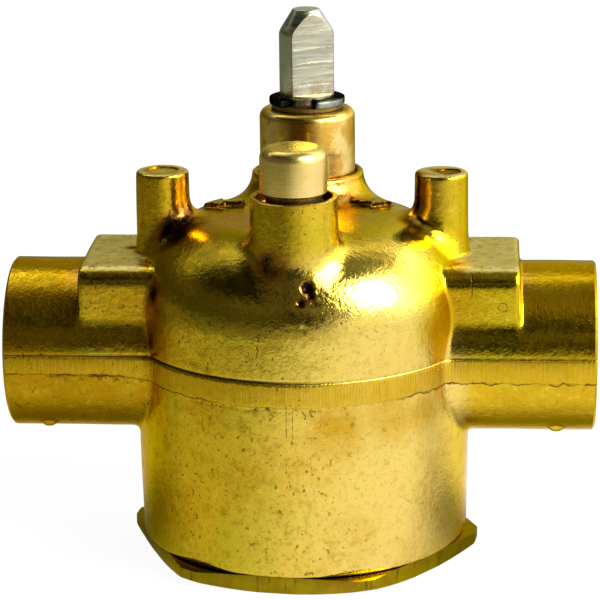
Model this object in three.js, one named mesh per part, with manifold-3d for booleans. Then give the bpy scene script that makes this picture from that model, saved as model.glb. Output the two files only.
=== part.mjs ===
// A three way zone valve with sweat ends for half inch copper tube: a forged brass body with ports A and B in
// line, port AB in a hexagonal bottom plug, and a rubber ball that a side stem swings from one seat to the other.
// Millimetres, +Z up. The origin is the middle of the plug's underside; port A is at -X, port B at +X, and the
// stem stands behind the middle, at +Y.
import * as THREE from "three";
import { mergeVertices } from "three/addons/utils/BufferGeometryUtils.js";
import Module from "manifold-3d";

// ---------------------------------------------------------------- driving dimensions
const HALF_SPAN = 33.35; // half of the end to end length, 2 5/8 inch in all
const AXIS_Z = 23.8; // the side ports' axis above the underside, 15/16 inch
const TUBE_SOCKET_R = 7.98; // takes 15.9 mm copper tube
const TUBE_SOCKET_DEPTH = 12.7;
const PORT_R = 9.7; // outside of a sweat end
const BODY_R = 19.4; // body at the parting plane, and its drafted lower rim
const BODY_RIM_R = 19.05;
const BODY_FOOT_Z = 2.25;
const WALL = 2.5;
const SHOULDER_R = 9.4;
const DOME_TOP_Z = AXIS_Z + 15.4;
const STEM_Y = 10.66;
const STEM_R = 3.175; // quarter inch stem
const BALL_R = 6.6;
const SWING = THREE.MathUtils.degToRad(27); // arm from the middle to either seat
const POST_TOP_Z = AXIS_Z + 20.3; // the posts and the boss carry the actuator at this height
const GAP = 0.12; // running and assembly clearance between turned pieces

const RING = 56; // segments round the large turned pieces
const SMALL_RING = 36; // segments round the small ones
const ARC = 7; // segments in a quarter of a rounded profile

// ---------------------------------------------------------------- materials
const metal = (color, roughness) => new THREE.MeshStandardMaterial({ color, roughness, metalness: 1 });
const forgedBrass = metal(0xb8922a, 0.35);
const machinedBrass = metal(0xcdb25c, 0.25);
const steel = metal(0xb9b8a8, 0.3);
const blackSteel = metal(0x1c1d20, 0.4);
const bronze = metal(0xa5763a, 0.4);
const rubber = new THREE.MeshStandardMaterial({ color: 0x17181a, roughness: 0.75, metalness: 0 });
const ptfe = new THREE.MeshStandardMaterial({ color: 0xe6e3da, roughness: 0.5, metalness: 0 });

// ---------------------------------------------------------------- solids
const wasm = await Module();
wasm.setup();

// A closed three.js geometry as a solid: shared points are merged and triangles that collapsed are dropped.
function solid(geometry) {
  const bare = geometry.clone();
  bare.deleteAttribute("normal");
  bare.deleteAttribute("uv");
  const merged = mergeVertices(bare, 1e-4);
  const kept = [];
  for (let i = 0; i < merged.index.count; i += 3) {
    const [a, b, c] = [0, 1, 2].map((k) => merged.index.getX(i + k));
    if (a !== b && b !== c && c !== a) kept.push(a, b, c);
  }
  const vertProperties = new Float32Array(merged.attributes.position.array);
  return new wasm.Manifold(new wasm.Mesh({ numProp: 3, vertProperties, triVerts: new Uint32Array(kept) }));
}

function geometryOf(shape) {
  const { vertProperties, triVerts } = shape.getMesh();
  const geometry = new THREE.BufferGeometry();
  geometry.setAttribute("position", new THREE.BufferAttribute(vertProperties, 3));
  geometry.setIndex(new THREE.BufferAttribute(triVerts, 1));
  geometry.computeVertexNormals();
  return geometry;
}

const joined = (...shapes) => shapes.reduce((whole, next) => whole.add(next));
const cut = (shape, ...tools) => tools.reduce((left, tool) => left.subtract(tool), shape);

// A solid of revolution about +Z. The profile is [radius, z] pairs, counter-clockwise: up the outside.
function turned(profile, segments = SMALL_RING) {
  const points = profile.map(([r, z]) => new THREE.Vector2(r, z));
  return new THREE.LatheGeometry(points, segments).rotateX(Math.PI / 2);
}

const closed = (profile) => [...profile, profile[0]];

// Points of an arc in a profile, from one angle to another, in degrees from the +r direction.
function arc(r, z, radius, from, to, steps = ARC) {
  return Array.from({ length: steps + 1 }, (_, i) => {
    const angle = THREE.MathUtils.degToRad(from + ((to - from) * i) / steps);
    return [r + radius * Math.cos(angle), z + radius * Math.sin(angle)];
  });
}

const cylinder = (r, low, high, segments) => turned([[0, low], [r, low], [r, high], [0, high]], segments);
const tube = (inner, outer, low, high, segments) =>
  turned(closed([[inner, low], [outer, low], [outer, high], [inner, high]]), segments);
const oRing = (middle, section, z) => turned(closed(arc(middle, z, section, 0, 360, 10).slice(0, -1)), 32);
// A turned piece laid along the ports' axis, its +Z to +X.
const alongPorts = (geometry) => geometry.rotateY(Math.PI / 2).translate(0, 0, AXIS_Z);
// A turned piece laid along the ball arm, its +Z to the arm's -Y, with z measured from the stem's axis.
const alongArm = (geometry) => geometry.rotateX(Math.PI / 2).translate(0, 0, AXIS_Z);

// ---------------------------------------------------------------- forged body
const SHOULDER_Z = DOME_TOP_Z - SHOULDER_R;
const CHAMBER_R = BODY_R - WALL;
const THREAD_BORE_R = 17.3;
const THREAD_TOP_Z = 9;
const CHAMBER_TOP_Z = DOME_TOP_Z - WALL;
const INNER_SHOULDER_R = SHOULDER_R - WALL + 0.4;

function domedBarrel() {
  return turned(
    [
      [0, BODY_FOOT_Z],
      [BODY_RIM_R - 0.4, BODY_FOOT_Z],
      [BODY_RIM_R, BODY_FOOT_Z + 0.4],
      [BODY_R, AXIS_Z],
      ...arc(BODY_R - SHOULDER_R, SHOULDER_Z, SHOULDER_R, 0, 90),
      [0, DOME_TOP_Z],
    ],
    RING,
  );
}

function chamber() {
  const inner = CHAMBER_R - INNER_SHOULDER_R;
  const shoulder = arc(inner, CHAMBER_TOP_Z - INNER_SHOULDER_R, INNER_SHOULDER_R, 0, 90);
  const bore = [[0, 0], [THREAD_BORE_R, 0], [THREAD_BORE_R, THREAD_TOP_Z], [CHAMBER_R, THREAD_TOP_Z]];
  return turned([...bore, ...shoulder, [0, CHAMBER_TOP_Z]], RING);
}

// The square pads over both ports, as one bar through the body, rounded along its two top edges.
const PAD_HALF_LENGTH = 24.44;
const PAD_HALF_DEPTH = 8.7;
const PAD_TOP = 10.97; // above the ports' axis
const PAD_EDGE_R = 1.8;

function pads() {
  const outline = new THREE.Shape();
  outline.moveTo(-PAD_HALF_DEPTH, 0);
  outline.lineTo(PAD_HALF_DEPTH, 0);
  outline.absarc(PAD_HALF_DEPTH - PAD_EDGE_R, PAD_TOP - PAD_EDGE_R, PAD_EDGE_R, 0, Math.PI / 2);
  outline.absarc(PAD_EDGE_R - PAD_HALF_DEPTH, PAD_TOP - PAD_EDGE_R, PAD_EDGE_R, Math.PI / 2, Math.PI);
  const bar = new THREE.ExtrudeGeometry(outline, { depth: 2 * PAD_HALF_LENGTH, bevelEnabled: false, curveSegments: 5 });
  return bar.translate(0, 0, -PAD_HALF_LENGTH).rotateX(Math.PI / 2).rotateZ(Math.PI / 2).translate(0, 0, AXIS_Z);
}

const POST_X = 15.83;
const POST_R = 3;
const BOSS_Y = -12;
const BOSS_R = 4.77;
const BOSS_DRAFT = 0.5;
const COLLAR_R = 6.5;
const COLLAR_TOP_Z = AXIS_Z + 18;
const COLLAR_FLARE = 1.2;
const SLEEVE_R = 5.56;
const SLEEVE_SHANK_R = 4.9;
const SLEEVE_SEAT_Z = COLLAR_TOP_Z - 2.2;
const SEAT_BORE_R = 7;

const post = (side) => cylinder(POST_R, SHOULDER_Z, POST_TOP_Z, 28).translate(side * POST_X, 0, 0);

function pinBoss() {
  const low = SHOULDER_Z;
  const profile = [[0, low], [BOSS_R + BOSS_DRAFT, low], [BOSS_R, POST_TOP_Z], [0, POST_TOP_Z]];
  return turned(profile).translate(0, BOSS_Y, 0);
}

// The collar round the stem sleeve, flared where it meets the dome.
function stemCollar() {
  const flareTop = DOME_TOP_Z + COLLAR_FLARE;
  return turned([
    [0, SHOULDER_Z],
    [COLLAR_R + COLLAR_FLARE, SHOULDER_Z],
    [COLLAR_R + COLLAR_FLARE, DOME_TOP_Z],
    ...arc(COLLAR_R + COLLAR_FLARE, flareTop, COLLAR_FLARE, 270, 180, 4),
    [COLLAR_R, COLLAR_TOP_Z],
    [0, COLLAR_TOP_Z],
  ]).translate(0, STEM_Y, 0);
}

const PIN_SHANK_R = 2.6;
const PIN_HOLE_Z = 38.9;
const PIN_RECESS_R = 4.2;
const PIN_RECESS_Z = POST_TOP_Z - 1.3;

function body() {
  const outside = joined(
    solid(domedBarrel()),
    solid(alongPorts(cylinder(PORT_R, -HALF_SPAN, HALF_SPAN, RING))),
    solid(pads()),
    solid(post(-1)),
    solid(post(1)),
    solid(pinBoss()),
    solid(stemCollar()),
  );
  const socketFloor = HALF_SPAN - TUBE_SOCKET_DEPTH;
  const beyond = HALF_SPAN + 1;
  return cut(
    outside,
    solid(chamber()),
    solid(alongPorts(cylinder(SEAT_BORE_R, -beyond, beyond, RING))),
    solid(alongPorts(cylinder(TUBE_SOCKET_R, socketFloor, beyond, RING))),
    solid(alongPorts(cylinder(TUBE_SOCKET_R, -beyond, -socketFloor, RING))),
    solid(cylinder(SLEEVE_SHANK_R + GAP, CHAMBER_TOP_Z - 5, POST_TOP_Z).translate(0, STEM_Y, 0)),
    solid(cylinder(SLEEVE_R + 0.2, SLEEVE_SEAT_Z, POST_TOP_Z).translate(0, STEM_Y, 0)),
    solid(cylinder(PIN_SHANK_R + GAP, PIN_HOLE_Z, POST_TOP_Z + 1).translate(0, BOSS_Y, 0)),
    solid(cylinder(PIN_RECESS_R, PIN_RECESS_Z, POST_TOP_Z + 1).translate(0, BOSS_Y, 0)),
  );
}

// ---------------------------------------------------------------- bottom plug with port AB
const FLANGE_TOP_Z = 1.95;
const FLANGE_FLAT = 18; // half across the hexagon's flats
const FLANGE_CORNER_R = 20.2; // the corners are turned off at this radius
const FLANGE_CHAMFER = 0.9;
const FLANGE_TURN = THREE.MathUtils.degToRad(83.15); // a corner's bearing from -Y towards +X
const SPIGOT_R = THREAD_BORE_R - 0.2;
const SPIGOT_TOP_Z = 8.4;
const PLUG_SOCKET_R = 9.7;
const PLUG_SOCKET_TOP_Z = 14.7;
const PLUG_RING_R = 16.5; // the plug's O-ring, and half of its section
const PLUG_RING_SECTION = 0.6;
const PLUG_RING_Z = 3.3;

function bottomPlug() {
  const corner = FLANGE_FLAT / Math.cos(Math.PI / 6);
  const outline = new THREE.Shape();
  for (let i = 0; i < 6; i += 1) {
    const bearing = FLANGE_TURN - Math.PI / 2 + (i * Math.PI) / 3;
    outline[i ? "lineTo" : "moveTo"](corner * Math.cos(bearing), corner * Math.sin(bearing));
  }
  const hexagon = new THREE.ExtrudeGeometry(outline, { depth: FLANGE_TOP_Z, bevelEnabled: false });
  const low = FLANGE_CORNER_R - 2 * FLANGE_CHAMFER;
  const blank = turned(
    [[0, 0], [low, 0], [FLANGE_CORNER_R, FLANGE_CHAMFER], [FLANGE_CORNER_R, FLANGE_TOP_Z], [0, FLANGE_TOP_Z]],
    RING,
  );
  const grooveR = PLUG_RING_R - PLUG_RING_SECTION - GAP;
  const grooveHalf = PLUG_RING_SECTION + GAP;
  const cupFloor = 3.6;
  const upper = turned(
    [
      [0, 1],
      [SPIGOT_R, 1],
      [SPIGOT_R, PLUG_RING_Z - grooveHalf],
      [grooveR, PLUG_RING_Z - grooveHalf],
      [grooveR, PLUG_RING_Z + grooveHalf],
      [SPIGOT_R, PLUG_RING_Z + grooveHalf],
      [SPIGOT_R, SPIGOT_TOP_Z],
      [SPIGOT_R - 2, SPIGOT_TOP_Z],
      [SPIGOT_R - 2, cupFloor],
      [PLUG_SOCKET_R, cupFloor],
      [PLUG_SOCKET_R, PLUG_SOCKET_TOP_Z],
      [0, PLUG_SOCKET_TOP_Z],
    ],
    RING,
  );
  return cut(
    joined(solid(hexagon).intersect(solid(blank)), solid(upper)),
    solid(cylinder(TUBE_SOCKET_R, -1, TUBE_SOCKET_DEPTH, RING)),
    solid(cylinder(SEAT_BORE_R - 0.7, 1, PLUG_SOCKET_TOP_Z + 1, RING)),
  );
}

// ---------------------------------------------------------------- seats
const ARM_LENGTH = STEM_Y / Math.cos(SWING);
const BALL_REACH = STEM_Y * Math.tan(SWING); // the ball's centre from the middle, when it closes a port
const ORIFICE_R = 4.9;
const SEAT_R = SEAT_BORE_R - 0.15;
const SEAT_LIP = 0.5;
const SEAT_FACE = BALL_REACH + Math.sqrt(BALL_R ** 2 - ORIFICE_R ** 2) + 0.35;
const SEAT_BACK = HALF_SPAN - TUBE_SOCKET_DEPTH - 0.3;

// A pressed in nozzle, its face at the low end of z. The sealing edge and the outer edge are rounded.
function seatRing() {
  const profile = closed([
    [ORIFICE_R, SEAT_FACE + SEAT_LIP],
    [ORIFICE_R + SEAT_LIP, SEAT_FACE],
    [SEAT_R - SEAT_LIP, SEAT_FACE],
    [SEAT_R, SEAT_FACE + SEAT_LIP],
    [SEAT_R, SEAT_BACK],
    [ORIFICE_R + 1, SEAT_BACK],
    [ORIFICE_R, SEAT_BACK - 1],
  ]);
  return alongPorts(turned(profile, RING));
}

// ---------------------------------------------------------------- stem sleeve and what it holds
const SLEEVE_TOP_Z = AXIS_Z + 25.4;
const SLEEVE_SHOULDER_Z = SLEEVE_SEAT_Z + 0.7;
const SLEEVE_FOOT_Z = CHAMBER_TOP_Z - 0.8;
const SLEEVE_BORE_R = STEM_R + GAP;
const SLEEVE_CHAMFER = 0.8;
const BUSH_R = 4;
const BUSH_LENGTH = 2.5;

function stemSleeve() {
  const bushSeat = BUSH_LENGTH + 0.15;
  const outside = [
    [SLEEVE_SHANK_R, SLEEVE_FOOT_Z],
    [SLEEVE_SHANK_R, SLEEVE_SHOULDER_Z],
    [SLEEVE_R, SLEEVE_SHOULDER_Z],
    [SLEEVE_R, SLEEVE_TOP_Z - SLEEVE_CHAMFER],
    [SLEEVE_R - SLEEVE_CHAMFER, SLEEVE_TOP_Z],
  ];
  const inside = [
    [BUSH_R + GAP, SLEEVE_TOP_Z],
    [BUSH_R + GAP, SLEEVE_TOP_Z - bushSeat],
    [SLEEVE_BORE_R, SLEEVE_TOP_Z - bushSeat],
    [SLEEVE_BORE_R, SLEEVE_FOOT_Z + bushSeat],
    [BUSH_R + GAP, SLEEVE_FOOT_Z + bushSeat],
    [BUSH_R + GAP, SLEEVE_FOOT_Z],
  ];
  return turned(closed([...outside, ...inside]));
}

const stemBush = (low) => tube(SLEEVE_BORE_R, BUSH_R, low, low + BUSH_LENGTH);
const sleeveGasket = () => tube(SLEEVE_SHANK_R + GAP, SLEEVE_R, SLEEVE_SEAT_Z + GAP, SLEEVE_SHOULDER_Z - GAP);

// ---------------------------------------------------------------- latch pin
const PIN_R = 3.7;
const PIN_TOP_Z = AXIS_Z + 25.8;
const PIN_EDGE_R = 1.2;
const PIN_HEAD_Z = POST_TOP_Z + 0.4;
const PIN_NECK_R = 3.1;

function latchPin() {
  return turned([
    [0, PIN_HOLE_Z + 0.3],
    [PIN_SHANK_R, PIN_HOLE_Z + 0.3],
    [PIN_SHANK_R, PIN_RECESS_Z + 0.2],
    [PIN_NECK_R, PIN_RECESS_Z + 0.2],
    [PIN_NECK_R, PIN_HEAD_Z],
    [PIN_R, PIN_HEAD_Z],
    ...arc(PIN_R - PIN_EDGE_R, PIN_TOP_Z - PIN_EDGE_R, PIN_EDGE_R, 0, 90, 5),
    [0, PIN_TOP_Z],
  ]);
}

// ---------------------------------------------------------------- stem, made in its own frame with the arm at -Y
const STEM_TOP_Z = AXIS_Z + 37;
const STEM_TAPER_Z = AXIS_Z + 34.4;
const STEM_TIP_R = 1.54;
const FLAT_DEPTH = 1.85; // the driving flat's distance from the axis
const FLAT_FOOT_Z = AXIS_Z + 27.2;
const THRUST_R = 4.6;
const THRUST_TOP_Z = SLEEVE_FOOT_Z - 1;
const HUB_HALF = 3;
const HUB_PIN_R = 2.5; // the stem inside the arm's hub, and its locating flat
const HUB_PIN_FLAT = 1.9;
const SCREW_R = 1.45;
const RING_SECTION = 0.5;
const RING_GROOVE_R = 2.1;
const RING_Z = [SLEEVE_SEAT_Z + 1.5, SLEEVE_SEAT_Z + 5];
const CLIP_Z = SLEEVE_TOP_Z + 0.62;
const CLIP_THICK = 0.7;
const CLIP_GROOVE_R = 2.5;

// A round groove in a bar of the stem's radius, in profile.
const groove = (z, half, r) => [[STEM_R, z - half], [r, z - half], [r, z + half], [STEM_R, z + half]];

// What lies beyond a flat that faces -Y at the given distance from the axis.
function beyondFlat(distance, low, high) {
  const size = 2 * THRUST_R;
  return new THREE.BoxGeometry(size, size, high - low).translate(0, -distance - size / 2, (low + high) / 2);
}

function stem() {
  const hubLow = AXIS_Z - HUB_HALF + 0.2;
  const hubHigh = AXIS_Z + HUB_HALF + 0.2;
  const bar = solid(
    turned([
      [0, hubLow],
      [HUB_PIN_R, hubLow],
      [HUB_PIN_R, hubHigh],
      [STEM_R, hubHigh],
      [STEM_R, THRUST_TOP_Z - 1.3],
      [THRUST_R, THRUST_TOP_Z - 1.3],
      [THRUST_R, THRUST_TOP_Z],
      [STEM_R, THRUST_TOP_Z],
      ...RING_Z.flatMap((z) => groove(z, RING_SECTION + GAP, RING_GROOVE_R)),
      ...groove(CLIP_Z + CLIP_THICK / 2, CLIP_THICK / 2 + 0.1, CLIP_GROOVE_R),
      [STEM_R, STEM_TAPER_Z],
      [STEM_TIP_R, STEM_TOP_Z],
      [0, STEM_TOP_Z],
    ]),
  );
  const screwHole = cylinder(SCREW_R + GAP, hubLow - 1, AXIS_Z + 2.5, 24);
  return cut(
    bar,
    solid(beyondFlat(FLAT_DEPTH, FLAT_FOOT_Z, STEM_TOP_Z + 1)),
    solid(beyondFlat(HUB_PIN_FLAT, hubLow - 1, hubHigh)),
    solid(screwHole),
  );
}

// The C-shaped clip in the stem's top groove, open on the side of the driving flat.
const CLIP_R = 4.4;
const CLIP_HALF_GAP = THREE.MathUtils.degToRad(27);
const CLIP_OPENING = THREE.MathUtils.degToRad(-38); // bearing of the opening from the arm

function retainingClip() {
  const inner = CLIP_GROOVE_R + 0.1;
  const outline = new THREE.Shape();
  outline.absarc(0, 0, CLIP_R, CLIP_HALF_GAP, 2 * Math.PI - CLIP_HALF_GAP, false);
  outline.absarc(0, 0, inner, 2 * Math.PI - CLIP_HALF_GAP, CLIP_HALF_GAP, true);
  const clip = new THREE.ExtrudeGeometry(outline, { depth: CLIP_THICK, bevelEnabled: false, curveSegments: 32 });
  return clip.rotateZ(CLIP_OPENING - Math.PI / 2).translate(0, 0, CLIP_Z);
}

// ---------------------------------------------------------------- arm, screw and ball
const HUB_R = 4.3;
const SPIGOT_PIN_R = 1.9;
const BALL_CUT = 5.2; // the ball is cut flat this far from its centre, on the stem's side
const BALL_NEAR = ARM_LENGTH - BALL_CUT;
const CORE_R = 2.9;
const CORE_RIB_R = 4.1;
const CORE_NEAR = BALL_NEAR + 0.1;
const CORE_FAR = ARM_LENGTH + 2.6;

function ballArm() {
  const hub = cylinder(HUB_R, AXIS_Z - HUB_HALF, AXIS_Z + HUB_HALF);
  const lever = cylinder(2.8, 0, BALL_NEAR - 0.2, 24);
  const spigot = cylinder(SPIGOT_PIN_R, 1, CORE_FAR - 1.6, 24);
  const bore = solid(cylinder(HUB_PIN_R + GAP, AXIS_Z - 5, AXIS_Z + 5));
  const keyed = cut(bore, solid(beyondFlat(HUB_PIN_FLAT + GAP, AXIS_Z - 6, AXIS_Z + 6)));
  return cut(joined(solid(hub), solid(alongArm(lever)), solid(alongArm(spigot))), keyed);
}

const coreOutline = (swell) => [
  [CORE_R + swell, CORE_NEAR - swell],
  [CORE_R + swell, ARM_LENGTH - 1 - swell],
  [CORE_RIB_R + swell, ARM_LENGTH - 1 - swell],
  [CORE_RIB_R + swell, ARM_LENGTH + 1 + swell],
  [CORE_R + swell, ARM_LENGTH + 1 + swell],
  [CORE_R + swell, CORE_FAR + swell],
];

function ballCore() {
  const hole = SPIGOT_PIN_R + GAP;
  const holeEnd = CORE_FAR - 1.4;
  const profile = [[hole, CORE_NEAR], ...coreOutline(0), [0, CORE_FAR], [0, holeEnd], [hole, holeEnd]];
  return alongArm(turned(closed(profile)));
}

// The moulded rubber ball round the core.
function sealBall() {
  const cutAngle = THREE.MathUtils.radToDeg(Math.asin(BALL_CUT / BALL_R));
  const outside = arc(0, ARM_LENGTH, BALL_R, -cutAngle, 90, 20);
  const inside = [[0, CORE_FAR + GAP], ...coreOutline(GAP).slice(1).reverse(), [CORE_R + GAP, BALL_NEAR]];
  return alongArm(turned(closed([...outside.slice(0, -1), [0, ARM_LENGTH + BALL_R], ...inside])));
}

function armScrew() {
  const top = AXIS_Z - HUB_HALF - 0.75;
  const head = turned([
    [0, top - 1.7],
    [2.2, top - 1.7],
    [2.7, top - 1.2],
    [2.7, top],
    [SCREW_R, top],
    [SCREW_R, AXIS_Z + 2],
    [0, AXIS_Z + 2],
  ]);
  const slot = new THREE.BoxGeometry(8, 0.7, 0.8).translate(0, 0, top - 1.7);
  return cut(solid(head), solid(slot));
}

const armWasher = () => tube(SCREW_R + GAP, 3.4, AXIS_Z - HUB_HALF - 0.65, AXIS_Z - HUB_HALF - 0.15);

// ---------------------------------------------------------------- the assembly
const valve = new THREE.Group();
const stemAssembly = new THREE.Group();
stemAssembly.position.set(0, STEM_Y, 0);
stemAssembly.rotation.z = SWING;
valve.add(stemAssembly);

function add(group, name, shape, material) {
  const geometry = shape.isBufferGeometry ? geometryOf(solid(shape)) : geometryOf(shape);
  const mesh = new THREE.Mesh(geometry, material);
  mesh.name = name;
  group.add(mesh);
  return mesh;
}

add(valve, "valve_body", body(), forgedBrass);
add(valve, "bottom_plug", bottomPlug(), machinedBrass);
add(valve, "plug_o_ring", oRing(PLUG_RING_R, PLUG_RING_SECTION, PLUG_RING_Z), rubber);
add(valve, "seat_ring_b", seatRing(), machinedBrass);
add(valve, "seat_ring_a", seatRing(), machinedBrass).rotation.z = Math.PI;
add(valve, "latch_pin", latchPin(), machinedBrass).position.y = BOSS_Y;
add(valve, "stem_sleeve", stemSleeve(), machinedBrass).position.y = STEM_Y;
add(valve, "sleeve_gasket", sleeveGasket(), ptfe).position.y = STEM_Y;
add(valve, "upper_stem_bush", stemBush(SLEEVE_TOP_Z - BUSH_LENGTH), bronze).position.y = STEM_Y;
add(valve, "lower_stem_bush", stemBush(SLEEVE_FOOT_Z), bronze).position.y = STEM_Y;

add(stemAssembly, "stem", stem(), steel);
add(stemAssembly, "upper_stem_o_ring", oRing(STEM_R - RING_SECTION, RING_SECTION, RING_Z[1]), rubber);
add(stemAssembly, "lower_stem_o_ring", oRing(STEM_R - RING_SECTION, RING_SECTION, RING_Z[0]), rubber);
add(stemAssembly, "retaining_clip", retainingClip(), blackSteel);
add(stemAssembly, "clip_washer", tube(SLEEVE_BORE_R, 4.15, SLEEVE_TOP_Z + 0.1, CLIP_Z - 0.1), bronze);
add(stemAssembly, "thrust_washer", tube(SLEEVE_BORE_R, 4.8, THRUST_TOP_Z + 0.15, SLEEVE_FOOT_Z - 0.15), ptfe);
add(stemAssembly, "ball_arm", ballArm(), machinedBrass);
add(stemAssembly, "arm_washer", armWasher(), steel);
add(stemAssembly, "arm_screw", armScrew(), steel);
add(stemAssembly, "ball_core", ballCore(), machinedBrass);
add(stemAssembly, "seal_ball", sealBall(), rubber);

export default valve;
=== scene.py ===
"""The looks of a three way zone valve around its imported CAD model.

Metres in Blender, +Z up, port A at -X, port B at +X, the stem behind the middle. Shapes are worked out in
millimetres, with heights from the valve's underside, and scaled once when a mesh is made.
"""

import math

import bmesh
import bpy
import numpy as np
from mathutils import Matrix, Vector


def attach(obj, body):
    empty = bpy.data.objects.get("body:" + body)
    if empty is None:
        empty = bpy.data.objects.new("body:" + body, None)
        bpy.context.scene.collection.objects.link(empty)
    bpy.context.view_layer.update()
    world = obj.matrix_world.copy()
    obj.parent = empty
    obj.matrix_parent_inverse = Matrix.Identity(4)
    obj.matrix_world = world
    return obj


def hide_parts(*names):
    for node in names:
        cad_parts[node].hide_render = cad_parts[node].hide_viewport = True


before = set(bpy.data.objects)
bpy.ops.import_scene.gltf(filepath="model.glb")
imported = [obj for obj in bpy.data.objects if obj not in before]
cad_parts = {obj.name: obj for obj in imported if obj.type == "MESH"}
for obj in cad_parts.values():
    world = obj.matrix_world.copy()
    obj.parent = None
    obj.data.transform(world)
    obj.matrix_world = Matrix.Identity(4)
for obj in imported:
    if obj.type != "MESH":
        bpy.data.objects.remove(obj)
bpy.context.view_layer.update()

MM = 0.001
rng = np.random.default_rng(7)

# ------------------------------------------------------------------ sizes, in millimetres
AXIS_Z = 23.8
HALF_SPAN = 33.35
PORT_R = 9.7
SOCKET_R = 7.98
SOCKET_DEPTH = 12.7
BORE_R = 7.0
BARREL_R = 19.2
BARREL_DRAFT = 0.0163
BARREL_FOOT = 2.02
SHOULDER_R = 9.4
DOME_TOP = 39.2
CHAMBER_R = 16.9
CHAMBER_TOP = 36.7
THREAD_R = 17.3
THREAD_TOP = 9.0
PAD_HALF_DEPTH = 8.7
PAD_TOP = 10.97
PAD_EDGE_R = 2.3
PAD_END = 24.75
POST_X = 15.83
POST_R = 2.99
LEDGE_Z = 44.1
BOSS_Y = -12.0
BOSS_R = 4.77
PIN_R = 3.7
PIN_TOP = 49.6
STEM_Y = 10.66
STEM_R = 3.175
STEM_FLAT = 1.85
FLAT_FOOT = AXIS_Z + 27.2
STEM_TAPER = AXIS_Z + 34.4
STEM_TOP = AXIS_Z + 37
STEM_TIP_R = 1.54
SLEEVE_R = 5.56
SLEEVE_FOOT = 35.9
SLEEVE_TOP = AXIS_Z + 25.4
COLLAR_R = 6.5
COLLAR_TOP = 41.8
BALL_R = 6.6
FLANGE_TOP = 1.95
FLANGE_HALF_FLAT = 18.0
FLANGE_CORNER_R = 20.2
FLANGE_TURN = math.radians(83.15 - 90)
SWING = math.radians(27)


# ------------------------------------------------------------------ mesh helpers
def mesh_object(name, points, faces, smooth_angle=35):
    """A mesh object from points in millimetres."""
    mesh = bpy.data.meshes.new(name)
    mesh.from_pydata((np.asarray(points, float) * MM).tolist(), [], [list(map(int, f)) for f in faces])
    mesh.validate()
    mesh.update()
    obj = bpy.data.objects.new(name, mesh)
    bpy.context.scene.collection.objects.link(obj)
    shade(obj, smooth_angle)
    return obj


def shade(obj, smooth_angle=35):
    mesh = obj.data
    mesh.polygons.foreach_set("use_smooth", np.ones(len(mesh.polygons), bool))
    mesh.set_sharp_from_angle(angle=math.radians(smooth_angle))
    mesh.update()


def rounded(corners, steps=4):
    """A profile whose corners (r, z, radius) are rounded. Ends and corners with no radius stay sharp."""
    points = []
    count = len(corners)
    for i, corner in enumerate(corners):
        r, z = corner[:2]
        radius = corner[2] if len(corner) > 2 else 0
        here = np.array([r, z], float)
        if not radius:
            points.append(here)
            continue
        before = np.array(corners[i - 1][:2], float) - here
        after = np.array(corners[(i + 1) % count][:2], float) - here
        before /= np.linalg.norm(before)
        after /= np.linalg.norm(after)
        half = math.acos(max(-1.0, min(1.0, float(before @ after)))) / 2
        reach = radius / math.tan(half)
        centre = here + (before + after) / np.linalg.norm(before + after) * radius / math.sin(half)
        start = here + before * reach - centre
        end = here + after * reach - centre
        turn = math.atan2(start[0] * end[1] - start[1] * end[0], float(start @ end))
        for step in range(steps + 1):
            a = turn * step / steps
            points.append(centre + [start[0] * math.cos(a) - start[1] * math.sin(a),
                                    start[0] * math.sin(a) + start[1] * math.cos(a)])
    return points


def lathe(name, corners, segments=128, closed=False, centre=(0, 0), axis="Z", steps=4):
    """A body of revolution. An open profile starts and ends on the axis, at its foot and its top."""
    profile = rounded(corners, steps)
    angles = np.linspace(0, 2 * math.pi, segments, endpoint=False)
    points, rings = [], []
    for r, z in profile:
        if r < 1e-6:
            rings.append([len(points)])
            points.append((0, 0, z))
            continue
        rings.append(list(range(len(points), len(points) + segments)))
        points += [(r * math.cos(a), r * math.sin(a), z) for a in angles]
    faces = []
    above = rings[1:] + rings[:1] if closed else rings[1:]
    for low, high in zip(rings, above):
        for i in range(segments):
            j = (i + 1) % segments
            if len(low) == 1 and len(high) > 1:
                faces.append((low[0], high[j], high[i]))
            elif len(high) == 1 and len(low) > 1:
                faces.append((low[i], low[j], high[0]))
            elif len(low) > 1:
                faces.append((low[i], low[j], high[j], high[i]))
    points = np.array(points, float)
    if axis == "X":
        points = points[:, [2, 1, 0]] * [1, -1, 1] + [0, 0, AXIS_Z]
    points[:, 0] += centre[0]
    points[:, 1] += centre[1]
    obj = mesh_object(name, points, faces)
    outward(obj)
    return obj


def outward(obj):
    """Turns every face outwards."""
    bm = bmesh.new()
    bm.from_mesh(obj.data)
    bmesh.ops.recalc_face_normals(bm, faces=bm.faces)
    if bm.calc_volume(signed=True) < 0:
        bmesh.ops.reverse_faces(bm, faces=bm.faces)
    bm.to_mesh(obj.data)
    bm.free()


def bake_modifiers(obj):
    """Makes the modified mesh the object's own."""
    depsgraph = bpy.context.evaluated_depsgraph_get()
    mesh = bpy.data.meshes.new_from_object(obj.evaluated_get(depsgraph))
    obj.modifiers.clear()
    old = obj.data
    obj.data = mesh
    bpy.data.meshes.remove(old)


def carve(obj, cutters, operation="DIFFERENCE"):
    """Cuts with each cutter in turn and throws the cutters away."""
    for cutter in cutters:
        modifier = obj.modifiers.new("cut", "BOOLEAN")
        modifier.operation = operation
        modifier.solver = "MANIFOLD"
        modifier.object = cutter
        bake_modifiers(obj)
        bpy.data.objects.remove(cutter)


def bevelled(obj, width, segments=2, angle=35):
    modifier = obj.modifiers.new("edges", "BEVEL")
    modifier.width = width * MM
    modifier.segments = segments
    modifier.limit_method = "ANGLE"
    modifier.angle_limit = math.radians(angle)
    bake_modifiers(obj)


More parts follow.
